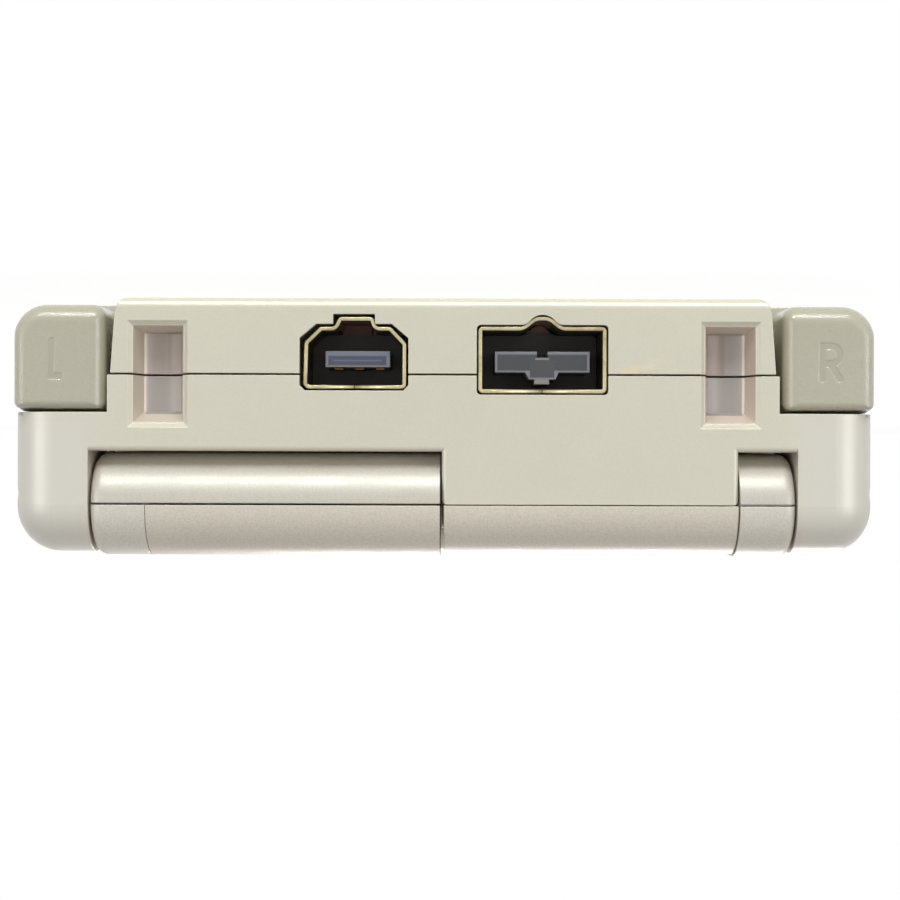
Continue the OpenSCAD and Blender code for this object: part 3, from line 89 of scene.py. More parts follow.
class Graph:
    """The node tree of a material or a world, with short calls to add and join its nodes."""

    # a colour mix has several sockets of each name, so they go by number
    MIX_SHARE, MIX_FIRST, MIX_SECOND, MIX_RESULT = 0, 6, 7, 2
    BEVEL_SAMPLES = 6

    def __init__(self, owner: bpy.types.Material | bpy.types.World) -> None:
        """Starts an empty tree.

        Args:
            owner: The material or world that the tree belongs to.
        """
        self.owner = owner
        owner.use_nodes = True
        self.tree = owner.node_tree
        self.tree.nodes.clear()

    @cached_property
    def coordinates(self) -> Socket:
        """Gives the piece's own coordinates."""
        return self.add("ShaderNodeTexCoord").outputs["Object"]

    def add(self, kind: str, inputs: dict | None = None, **settings: object) -> bpy.types.Node:
        """Adds a node.

        Args:
            kind: The node's type.
            inputs: Socket names or numbers, each with a value or the socket that feeds it.
            settings: The node's own settings.

        Returns:
            The new node.
        """
        node = self.tree.nodes.new(kind)
        for name, value in settings.items():
            setattr(node, name, value)
        for socket, value in (inputs or {}).items():
            if isinstance(value, Socket):
                self.tree.links.new(value, node.inputs[socket])
            else:
                node.inputs[socket].default_value = value
        return node

    def math(self, operation: str, *values: Socket | float) -> Socket:
        """Adds a math node on those values and returns its result."""
        node = self.add("ShaderNodeMath", dict(enumerate(values)), operation=operation)
        return node.outputs[0]

    def vector(self, operation: str, *values: Socket | Point) -> Socket:
        """Adds a vector math node on those values and returns its vector."""
        node = self.add("ShaderNodeVectorMath", dict(enumerate(values)), operation=operation)
        return node.outputs[0]

    def ramp(self, value: Socket, low: float, high: float, start: float, end: float) -> Socket:
        """Maps a value between low and high to start and end, held at both ends."""
        inputs = {"Value": value, "From Min": low, "From Max": high,
                  "To Min": start, "To Max": end}
        return self.add("ShaderNodeMapRange", inputs).outputs[0]

    def mix(self, share: Socket, first: Socket | tuple, second: Socket | tuple) -> Socket:
        """Mixes two colours by a share and returns the colour."""
        inputs = {self.MIX_SHARE: share, self.MIX_FIRST: first, self.MIX_SECOND: second}
        return self.add("ShaderNodeMix", inputs, data_type="RGBA").outputs[self.MIX_RESULT]

    def attribute(self, name: str) -> Socket:
        """Gives the value of a mesh attribute."""
        return self.add("ShaderNodeAttribute", attribute_name=name).outputs["Fac"]

    def box_mask(self, middle: Point, half: Point, soft: float) -> Socket:
        """Gives 1 inside a box and 0 outside it.

        The largest of the three distances past the box's half sizes falls from 1 to 0
        over the soft border inside the box.

        Args:
            middle: The box's middle.
            half: Its half sizes.
            soft: Width of the border.

        Returns:
            The socket with the mask.
        """
        size = self.vector("ABSOLUTE", self.vector("SUBTRACT", self.coordinates, middle))
        past = self.vector("SUBTRACT", size, half)
        axes = self.add("ShaderNodeSeparateXYZ", {0: past}).outputs
        largest = self.math("MAXIMUM", self.math("MAXIMUM", axes[0], axes[1]), axes[2])
        return self.ramp(largest, -soft, 0.0, 1.0, 0.0)

    def rounded_normal(self, radius: float) -> Socket:
        """Gives a normal that softens the solid's edges by that radius."""
        bevel = self.add("ShaderNodeBevel", {"Radius": radius}, samples=self.BEVEL_SAMPLES)
        return bevel.outputs[0]

    def bump(self, height: Socket, distance: float, normal: Socket) -> Socket:
        """Adds relief of a distance to a normal and returns the new normal."""
        inputs = {"Strength": 1.0, "Distance": distance, "Height": height, "Normal": normal}
        return self.add("ShaderNodeBump", inputs).outputs[0]

    def seen(self) -> Socket:
        """Gives 1 to rays that show a surface, straight or in gloss or glass, and 0 to others."""
        rays = self.add("ShaderNodeLightPath").outputs
        share = self.math("MAXIMUM", rays["Is Camera Ray"], rays["Is Glossy Ray"])
        return self.math("MAXIMUM", share, rays["Is Transmission Ray"])

    def finish(self, shader: bpy.types.Node) -> bpy.types.Material | bpy.types.World:
        """Joins a shader to the output.

        Args:
            shader: The node with the finished shader.

        Returns:
            The material or world.
        """
        kind = "World" if isinstance(self.owner, bpy.types.World) else "Material"
        self.add(f"ShaderNodeOutput{kind}", {"Surface": shader.outputs[0]})
        return self.owner


@dataclass(frozen=True)
class Noise:
    """Noise on a piece's own coordinates, with the values that count as none and as all."""

    waves_per_metre: float
    detail: float = 3.0
    rough: float = 0.5
    low: float = 0.0
    high: float = 1.0

    def value(self, graph: Graph) -> Socket:
        """Adds the noise to a tree and returns its value."""
        inputs = {"Vector": graph.coordinates, "Scale": self.waves_per_metre,
                  "Detail": self.detail, "Roughness": self.rough}
        return graph.add("ShaderNodeTexNoise", inputs).outputs[0]

    def between(self, graph: Graph, start: float, end: float) -> Socket:
        """Adds the noise and spreads it from start, where it is low, to end."""
        return graph.ramp(self.value(graph), self.low, self.high, start, end)


@dataclass(frozen=True)
class Tint:
    """A stretch of a surface with a colour laid over it, inside a box given in millimetres. Some
    are the thing's own colour, others are painted light or shade.
    """

    low: Point
    high: Point
    soft: float
    colour: Colour
    amount: float = 1.0

    def on_both_sides(self) -> tuple[Tint, Tint]:
        """Gives this tint and its mirror image across the console's middle plane."""
        low, high = (-self.high[0], *self.low[1:]), (-self.low[0], *self.high[1:])
        return self, replace(self, low=low, high=high)

    def laid_on(self, graph: Graph, base: Socket) -> Socket:
        """Mixes the colour over another one.

        Args:
            graph: The material's nodes.
            base: The colour underneath.

        Returns:
            The socket with the mixed colour.
        """
        low, high = np.asarray(self.low) * MM, np.asarray(self.high) * MM
        mask = graph.box_mask(tuple((low + high) / 2), tuple((high - low) / 2), self.soft * MM)
        return graph.mix(graph.math("MULTIPLY", mask, self.amount), base, linear(self.colour))


@dataclass(frozen=True)
class MouldedPlastic:
    """Sprayed or moulded plastic with a fine grain and faint pearl speckles."""

    name: str
    colour: Colour
    roughness: float = 0.42
    wear: float = 0.05
    speckle: float = 0.05
    mottle: float = 0.03
    grain: float = 0.006 * MM
    edge: float = 0.16 * MM
    coat: float = 0.15
    coat_roughness: float = 0.3
    pearl: float = 0.0
    ior: float = 1.5
    tints: tuple[Tint, ...] = ()
    # colour of the painted shade in a sunk letter
    mark: Colour | None = None
    mottle_noise: Noise = Noise(70.0)
    speckle_noise: Noise = Noise(5200.0, 2.0, 0.7, low=0.35, high=0.65)
    grain_noise: Noise = Noise(3800.0, 2.0, 0.6)
    wear_noise: Noise = Noise(260.0, 4.0, 0.6, low=0.3, high=0.7)

    def material(self) -> bpy.types.Material:
        """Builds the material: mottle, speckle, tinted stretches (some of them painted light or
        shade), painted shade in a sunk letter, grain and soft edges.

        Returns:
            The material.
        """
        graph = Graph(bpy.data.materials.new(self.name))
        colour = linear(self.colour)
        light = tuple(min(1.0, c * (1 + self.mottle)) for c in colour[:3]) + (1.0,)
        dark = tuple(c * (1 - self.mottle) for c in colour[:3]) + (1.0,)
        base = graph.mix(self.mottle_noise.value(graph), dark, light)
        shade = self.speckle_noise.between(graph, 1 - self.speckle, 1 + self.speckle)
        scaled = graph.add("ShaderNodeVectorMath", {0: base, "Scale": shade}, operation="SCALE")
        base = scaled.outputs[0]
        for tint in self.tints:
            base = tint.laid_on(graph, base)
        # painted shade in a sunk letter, by the mesh's share of it
        if self.mark is not None:
            base = graph.mix(graph.attribute("mark"), base, linear(self.mark))
        rough = self.wear_noise.between(graph, self.roughness - self.wear,
                                        self.roughness + self.wear)
        normal = graph.bump(self.grain_noise.value(graph), self.grain,
                            graph.rounded_normal(self.edge))
        return graph.finish(graph.add("ShaderNodeBsdfPrincipled", {
            "Base Color": base, "Roughness": rough, "Normal": normal, "Metallic": self.pearl,
            "Coat Weight": self.coat, "Coat Roughness": self.coat_roughness, "IOR": self.ior,
        }))


@dataclass(frozen=True)
class PlatedMetal:
    """Thin plated metal that has tarnished in patches."""

    name: str
    colour: Colour
    tarnish: Colour
    amount: float = 0.5
    roughness: float = 0.3
    tarnish_roughness: float = 0.65
    scratch: float = 0.003 * MM
    edge: float = 0.05 * MM
    # colour of the painted shade on a lip's rounded edges
    lip_shade: Colour | None = None
    tints: tuple[Tint, ...] = ()
    patch_noise: Noise = Noise(500.0, 5.0, 0.7, low=0.46, high=0.66)
    scratch_noise: Noise = Noise(9000.0, 2.0)

    def material(self) -> bpy.types.Material:
        """Builds the material: plating, brown patches, tinted stretches of painted shade and
        reflection, painted shade on a lip's rounded edges, and fine scratches.

        Returns:
            The material.
        """
        graph = Graph(bpy.data.materials.new(self.name))
        patch = self.patch_noise.between(graph, 0.0, self.amount)
        base = graph.mix(patch, linear(self.colour), linear(self.tarnish))
        for tint in self.tints:
            base = tint.laid_on(graph, base)
        # painted shade on a lip's rounded edges, by the mesh's share of it
        if self.lip_shade is not None:
            base = graph.mix(graph.attribute("mark"), base, linear(self.lip_shade))
        rough = graph.ramp(patch, 0.0, 1.0, self.roughness, self.tarnish_roughness)
        normal = graph.bump(self.scratch_noise.value(graph), self.scratch,
                            graph.rounded_normal(self.edge))
        return graph.finish(graph.add("ShaderNodeBsdfPrincipled", {
            "Base Color": base, "Roughness": rough, "Normal": normal, "Metallic": 1.0,
        }))


@dataclass(frozen=True)
class ClearCover:
    """Glossy clear sheet over something dark."""

    name: str
    colour: Colour
    roughness: float = 0.06
    wear: float = 0.08
    mottle: float = 0.05
    coat: float = 0.6
    coat_roughness: float = 0.04
    ior: float = 1.49
    edge: float = 0.1 * MM
    mottle_noise: Noise = Noise(40.0, 2.0)
    wear_noise: Noise = Noise(700.0, 5.0, 0.7, low=0.4, high=0.7)

    def material(self) -> bpy.types.Material:
        """Builds the material: a glossy skin with very faint wear in its gloss.

        Returns:
            The material.
        """
        graph = Graph(bpy.data.materials.new(self.name))
        light = tuple(min(255.0, c * (1 + self.mottle)) for c in self.colour)
        base = graph.mix(self.mottle_noise.value(graph), linear(self.colour), linear(light))
        rough = self.wear_noise.between(graph, self.roughness, self.roughness + self.wear)
        return graph.finish(graph.add("ShaderNodeBsdfPrincipled", {
            "Base Color": base, "Roughness": rough, "Normal": graph.rounded_normal(self.edge),
            "Coat Weight": self.coat, "Coat Roughness": self.coat_roughness, "IOR": self.ior,
        }))


# painted light and shade on each latch pocket's side walls and on the fields of its back round
# the fold and the seam, whose plastic is also less yellowed
LATCH_SHADE_AND_UNYELLOWED_TINTS = (
    Tint((-29.9, 38.6, 2.3), (-23.9, 41.75, 12.1), 0.3, (226, 217, 201), 0.95),
    Tint((-28.6, 38.2, 3.1), (-24.3, 39.6, 11.2), 0.2, (186, 176, 169)),
    Tint((-26.6, 38.2, 3.1), (-24.3, 39.6, 7.2), 0.2, (168, 157, 149), 0.8),
    Tint((-28.6, 38.2, 7.3), (-24.3, 39.6, 11.2), 0.2, (172, 168, 163), 0.9),
    Tint((23.9, 38.6, 2.3), (29.9, 41.75, 12.1), 0.3, (228, 216, 202), 0.95),
    Tint((24.2, 38.2, 3.1), (28.6, 39.6, 11.2), 0.2, (168, 155, 148)),
    Tint((26.8, 38.2, 3.1), (28.6, 39.6, 7.2), 0.2, (184, 182, 179), 0.7),
    Tint((24.2, 38.2, 7.3), (28.6, 39.6, 11.2), 0.2, (170, 167, 163), 0.9),
)
# painted shade in the notch round each shoulder button, and the paler hinge ears
NOTCH_SHADE_TINTS = Tint((-40.75, 32.3, 0.3), (-30.6, 40.7, 11.3), 0.3, (100, 84, 74),
                   0.6).on_both_sides()
EAR_TINTS = Tint((-44.0, 28.0, 9.6), (-31.6, 45.0, 28.0), 3.0, (219, 219, 209),
                 0.7).on_both_sides()
# painted mauve shade in the hinge's recess in the rear wall, and painted shade in the gap between
# its two covers
RECESS_SHADE_TINTS = (Tint((-33.8, 28.0, 14.4), (34.0, 41.6, 25.0), 0.3, (219, 207, 198), 0.8),)
GAP_SHADE_TINTS = (Tint((-0.40, 30.0, 13.0), (-0.16, 43.5, 26.0), 0.03, (40, 34, 30), 0.95),)
# three yellow patches beside the power port, fading away from it
YELLOW_PATCH_TINTS = (
    Tint((16.5, 41.0, 6.65), (18.3, 43.0, 7.25), 0.28, (252, 226, 160), 0.5),
    Tint((17.4, 41.0, 6.15), (19.9, 43.0, 6.95), 0.38, (246, 228, 176), 0.28),
    Tint((18.8, 41.0, 5.50), (22.0, 43.0, 6.50), 0.48, (242, 230, 190), 0.12),
)
# the link port: a painted copper reflection at its back, then a painted highlight round its
# tongue's bevelled edge, and its face, groove and lower edge
LINK_COLOUR_AND_LIGHT_TINTS = (
    Tint((-10.1, 34.0, 1.5), (-6.5, 36.6, 3.2), 0.7, (120, 84, 68), 0.8),
    Tint((-11.35, 35.4, 4.95), (-5.05, 41.0, 6.55), 0.02, (120, 127, 138)),
    Tint((-11.05, 35.4, 5.38), (-5.42, 41.0, 6.40), 0.12, (74, 79, 98)),
    Tint((-10.60, 40.4, 5.78), (-5.90, 41.0, 5.98), 0.08, (116, 122, 136), 0.7),
    Tint((-11.35, 40.4, 6.42), (-5.05, 41.0, 6.55), 0.02, (186, 170, 112), 0.6),
)
# the power port: a painted warm reflection at its back, then a painted highlight round its
# tongue's edge, and its bar, post, notch and lower edge
POWER_COLOUR_AND_LIGHT_TINTS = (
    Tint((7.8, 34.0, 1.5), (10.7, 36.6, 2.9), 0.4, (150, 118, 92), 0.8),
    Tint((4.7, 35.4, 4.95), (13.9, 41.0, 8.2), 0.02, (132, 135, 142)),
    Tint((4.98, 35.4, 5.22), (13.60, 41.0, 6.85), 0.10, (70, 73, 76)),
    Tint((8.05, 35.4, 5.80), (10.50, 41.0, 7.52), 0.12, (74, 77, 80)),
    Tint((8.60, 40.4, 5.58), (9.95, 41.0, 5.80), 0.05, (150, 150, 146), 0.8),
    Tint((8.4, 40.4, 7.72), (10.0, 41.0, 8.2), 0.05, (152, 146, 128), 0.8),
)
# the sleeves: painted shade behind the lip and darker painted shade further in, and a painted
# copper reflection in each one's keyway
SLEEVE_SHADE_AND_REFLECTION_TINTS = (
    Tint((-14.0, 30.0, 1.0), (16.0, 41.5, 9.5), 0.25, (146, 132, 86), 0.85),
    Tint((-14.0, 30.0, 1.0), (16.0, 40.6, 9.5), 0.9, (70, 56, 38), 0.9),
    Tint((-10.2, 30.0, 1.5), (-6.4, 41.5, 3.0), 0.3, (190, 140, 112), 0.9),
    Tint((7.6, 30.0, 1.5), (10.9, 41.5, 2.6), 0.3, (216, 190, 166), 0.9),
)


class Palette(Enum):
    """Every finish of the console."""

    CREAM = MouldedPlastic(
        "cream_plastic", (217, 215, 196), roughness=0.36, coat=0.25, pearl=0.2, edge=0.12 * MM,
        speckle=0.018, mottle=0.02, grain=0.003 * MM,
        tints=EAR_TINTS + RECESS_SHADE_TINTS + LATCH_SHADE_AND_UNYELLOWED_TINTS + NOTCH_SHADE_TINTS + YELLOW_PATCH_TINTS)
    COVER = MouldedPlastic("cover_plastic", (220, 215, 199), speckle=0.07, pearl=0.15,
                           tints=GAP_SHADE_TINTS)
    LID = MouldedPlastic("lid_plastic", (219, 217, 203), speckle=0.07, pearl=0.2)
    KNUCKLE = MouldedPlastic("knuckle_plastic", (203, 201, 187), roughness=0.38, coat=0.5,
                             coat_roughness=0.24, pearl=0.15, tints=GAP_SHADE_TINTS)
    # the buttons' plastic, with a darker colour painted as shade in their sunk letters
    BUTTON = MouldedPlastic("button_plastic", (188, 186, 165), roughness=0.3, speckle=0.03,
                            coat=0.8, coat_roughness=0.16, mark=(180, 178, 158))
    DARK = MouldedPlastic("dark_plastic", (38, 36, 36), roughness=0.5, coat=0.0)
    LINK_CORE = MouldedPlastic("link_core_plastic", (34, 28, 23), roughness=0.5, coat=0.0,
                               tints=LINK_COLOUR_AND_LIGHT_TINTS)
    POWER_CORE = MouldedPlastic("power_core_plastic", (46, 42, 39), roughness=0.5, coat=0.0,
                                mottle=0.12, tints=POWER_COLOUR_AND_LIGHT_TINTS)
    # tarnished in patches, with painted shade on each lip's rounded edges and inside the sleeves
    PORT_METAL = PlatedMetal("port_metal", (200, 193, 158), (128, 98, 62), lip_shade=(104, 80, 52),
                             tints=SLEEVE_SHADE_AND_REFLECTION_TINTS)
    # gold darkened as painted shade, for contacts that sit in shadow
    GOLD = PlatedMetal("gold_contact", (132, 106, 60), (60, 44, 28))
    STEEL = PlatedMetal("steel", (190, 190, 188), (120, 112, 100), amount=0.2)
    BOARD = MouldedPlastic("solder_mask", (28, 92, 58), roughness=0.3, mottle=0.1)
    CELL = MouldedPlastic("cell_wrap", (92, 98, 110), roughness=0.3)
    RUBBER = MouldedPlastic("rubber", (128, 128, 126), roughness=0.75, coat=0.0, mottle=0.05)
    CABLE = MouldedPlastic("cable_film", (190, 122, 46), roughness=0.25, coat=0.4)
    LENS = ClearCover("screen_lens", (22, 23, 26))
    LIGHT = ClearCover("light_pipe", (214, 224, 216), roughness=0.15)


class Finishes:
    """Builds each finish once and hands it out."""

    def __init__(self) -> None:
        """Starts with no material built."""
        self.built: dict[Palette, bpy.types.Material] = {}

    def get(self, choice: Palette) -> bpy.types.Material:
        """Gives the material of a finish, and builds it the first time.

        Args:
            choice: The finish.

        Returns:
            Its material.
        """
        if choice not in self.built:
            self.built[choice] = choice.value.material()
        return self.built[choice]


# ---------------------------------------------------------------- meshes


def surface(name: str, points: np.ndarray, material: bpy.types.Material, around: bool = False,
            close_ends: bool = False, mark: np.ndarray | None = None) -> bpy.types.Object:
    """Makes a mesh object from a grid of points.

    Each cell of the grid becomes one four-sided face. Its corners are the points at
    (i, j), (i, j + 1), (i + 1, j + 1) and (i + 1, j).

    Args:
        name: The piece's name.
        points: Rows by columns by 3, in metres.
        material: Its material.
        around: Whether the last column joins the first.
        close_ends: Whether the first and last rows are closed by a face.
        mark: Share of painted shade at each point, in a sunk letter or on a sleeve's lip, for
            finishes that show it.

    Returns:
        The new object, at the origin.
    """
    rows, columns = points.shape[:2]
    index = np.arange(rows * columns).reshape(rows, columns)
    nxt = np.roll(index, -1, axis=1) if around else index[:, 1:]
    here = index if around else index[:, :-1]
    faces = np.stack([here[:-1], nxt[:-1], nxt[1:], here[1:]], axis=-1).reshape(-1, 4).tolist()
    if close_ends:
        faces += [index[0][::-1].tolist(), index[-1].tolist()]
    mesh = bpy.data.meshes.new(name)
    mesh.from_pydata(points.reshape(-1, 3), [], faces)
    if mark is not None:
        mesh.attributes.new("mark", "FLOAT", "POINT").data.foreach_set("value", mark.ravel())
    mesh.validate()
    mesh.shade_smooth()
    mesh.materials.append(material)
    piece = bpy.data.objects.new(name, mesh)
    bpy.context.scene.collection.objects.link(piece)
    return piece


def rounded_outline(low: Sequence[float], high: Sequence[float], radii: Sequence[float],
                    steps: int) -> tuple[np.ndarray, np.ndarray]:
    """Gives the outline of a rectangle with four corner radii, and its inward normals.

    Each corner is a quarter circle in equal steps, and each side is divided evenly. The
    order is counter-clockwise from the lower right corner.

    Args:
        low: Lower left corner.
        high: Upper right corner.
        radii: Radii at lower right, upper right, upper left and lower left.
        steps: Points on each corner and each side.

    Returns:
        The points and the inward normals, each as an array of pairs.
    """
    centres = np.array([
        [high[0] - radii[0], low[1] + radii[0]], [high[0] - radii[1], high[1] - radii[1]],
        [low[0] + radii[2], high[1] - radii[2]], [low[0] + radii[3], low[1] + radii[3]],
    ])
    turn = np.linspace(0, 1, steps)[None, :] * math.pi / 2
    angle = turn + (np.arange(4)[:, None] - 1) * math.pi / 2
    outward = np.stack([np.cos(angle), np.sin(angle)], axis=-1)
    arcs = centres[:, None, :] + np.asarray(radii)[:, None, None] * outward
    share = np.linspace(0, 1, steps + 1)[1:-1][None, :, None]
    starts, ends = arcs[:, -1:], np.roll(arcs, -1, axis=0)[:, :1]
    sides = starts + (ends - starts) * share
    side_out = np.repeat(outward[:, -1:], sides.shape[1], axis=1)
    points = np.concatenate([arcs, sides], axis=1).reshape(-1, 2)
    normals = -np.concatenate([outward, side_out], axis=1).reshape(-1, 2)
    return points, normals


def filleted(corners: np.ndarray, radii: np.ndarray, steps: int) -> tuple[np.ndarray, np.ndarray]:
    """Rounds the corners of an open bent line, and gives its right-hand normals.

    Where the line turns by an angle a, an arc of radius r starts at r tan(|a| / 2) before
    the corner. Its centre stands r to the side that the line turns to, and the arc's
    normal turns evenly from one straight piece to the next.

    Args:
        corners: The line's points as pairs, both ends among them.
        radii: One radius for each corner between the ends.
        steps: Points on each arc.

    Returns:
        The points and the right-hand normals, each as an array of pairs.
    """
    spans = np.diff(corners, axis=0)
    heading = np.arctan2(spans[:, 1], spans[:, 0])
    bend = (np.diff(heading) + math.pi) % (2 * math.pi) - math.pi
    along = np.stack([np.cos(heading), np.sin(heading)], axis=-1)
    starts = corners[1:-1] - along[:-1] * (radii * np.tan(np.abs(bend) / 2))[:, None]
    turn = heading[:-1, None] + bend[:, None] * np.linspace(0, 1, steps)[None]
    left = np.stack([-np.sin(turn), np.cos(turn)], axis=-1)
    reach = (radii * np.sign(bend))[:, None, None]
    arcs = starts[:, None] + reach * (left[:, :1] - left)
    points = np.concatenate([corners[:1], arcs.reshape(-1, 2), corners[-1:]])
    normals = -np.concatenate([left[:1, 0], left.reshape(-1, 2), left[-1:, -1]])
    return points, normals


def stroke_distance(points: np.ndarray, strokes: Sequence[np.ndarray]) -> np.ndarray:
    """Gives each point's distance to the nearest of some bent lines.

    For each straight piece from a to b, the nearest place is a plus the piece times the
    dot product of (p - a) with (b - a) over its squared length, held between 0 and 1.

    Args:
        points: Pairs.
        strokes: Bent lines, each an array of pairs.

    Returns:
        One distance for each point.
    """
    starts = np.concatenate([s[:-1] for s in strokes])
    spans = np.concatenate([s[1:] - s[:-1] for s in strokes])
    offset = points[:, None, :] - starts[None]
    share = (offset * spans).sum(-1) / (spans ** 2).sum(-1)
    nearest = offset - np.clip(share, 0, 1)[..., None] * spans
    return np.sqrt((nearest ** 2).sum(-1)).min(axis=1)


# ---------------------------------------------------------------- sub-assemblies


class Side(Enum):
    """Left or right, as the sign of X."""

    LEFT = -1
    RIGHT = 1


@dataclass
class SubAssembly:
    """What every sub-assembly has: the finishes, and a way to dress the solids."""

    finishes: Finishes

    def dress(self, choice: Palette, *nodes: str) -> None:
        """Gives solids a finish.

        Args:
            choice: The finish.
            nodes: Names of the solids.
        """
        for name in nodes:
            slots = bpy.data.objects[name].data.materials
            slots.clear()
            slots.append(self.finishes.get(choice))
            LOG.info("%s is dressed in %s", name, choice.value.name)

    def place(self, piece: bpy.types.Object, body: str, slot: str, node: str) -> None:
        """Lets a new piece ride on a body and stand for a solid.

        Args:
            piece: The new piece.
            body: The body that carries it.
            slot: The record's name of its material. It is not used.
            node: The solid that it replaces.
        """
        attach(piece, body)
        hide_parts(node)
        LOG.info("%s rides on %s", piece.name, body)


@dataclass(frozen=True)
class Letter:
    """A plain letter for a side, placed in X and Z, upright when the console lies on its lid."""

    x: float = 36.6 * MM
    z: float = 5.86 * MM
    height: float = 3.3 * MM
    width: float = 0.85 * MM
    depth: float = 0.055 * MM
    half_stroke: float = 0.32 * MM
    blur: float = 0.14 * MM
    lean: float = 0.035
    bowl_share: float = 0.27
    leg_share: float = 0.45
    bowl_steps: int = 13

    def strokes(self, side: Side) -> list[np.ndarray]:
        """Gives the strokes of the side's letter.

        The left letter is a stem and a foot. The right letter is a stem, a half round
        bowl and a straight leg. Z runs downwards on them, so they are turned over.

        Args:
            side: Left or right.

        Returns:
            Bent lines in X and Z.
        """
        w, h = self.width, self.height
        if side is Side.LEFT:
            lines = [np.array([[self.lean * h, h], [0, 0], [w, 0]])]
        else:
            turn = np.linspace(math.pi / 2, -math.pi / 2, self.bowl_steps)
            r = h * self.bowl_share
            bowl = np.stack([w - r + r * np.cos(turn), h - r + r * np.sin(turn)], axis=1)
            bowl = np.concatenate([[[0, h]], bowl, [[0, h - 2 * r]]])
            leg = np.array([[w * self.leg_share, h - 2 * r], [w, 0]])
            lines = [np.array([[0, 0], [0, h]]), bowl, leg]
        middle = np.array([w / 2, h / 2])
        place = np.array([side.value * self.x, self.z])
        return [place + (line - middle) * np.array([1, -1]) for line in lines]

    def sunk(self, side: Side, points: np.ndarray) -> np.ndarray:
        """Gives how far each point sinks, as a share of the letter's depth.

        With u falling from 1 to 0 across the blur at a stroke's edge, it is u u (3 - 2 u).

        Args:
            side: Left or right.
            points: Pairs in X and Z, in an array of any shape.

        Returns:
            One share for each point.
        """
        away = stroke_distance(points.reshape(-1, 2), self.strokes(side))
        inside = self.half_stroke + self.blur / 2 - away.reshape(points.shape[:-1])
        ramp = np.clip(inside / self.blur, 0, 1)
        return ramp * ramp * (3 - 2 * ramp)


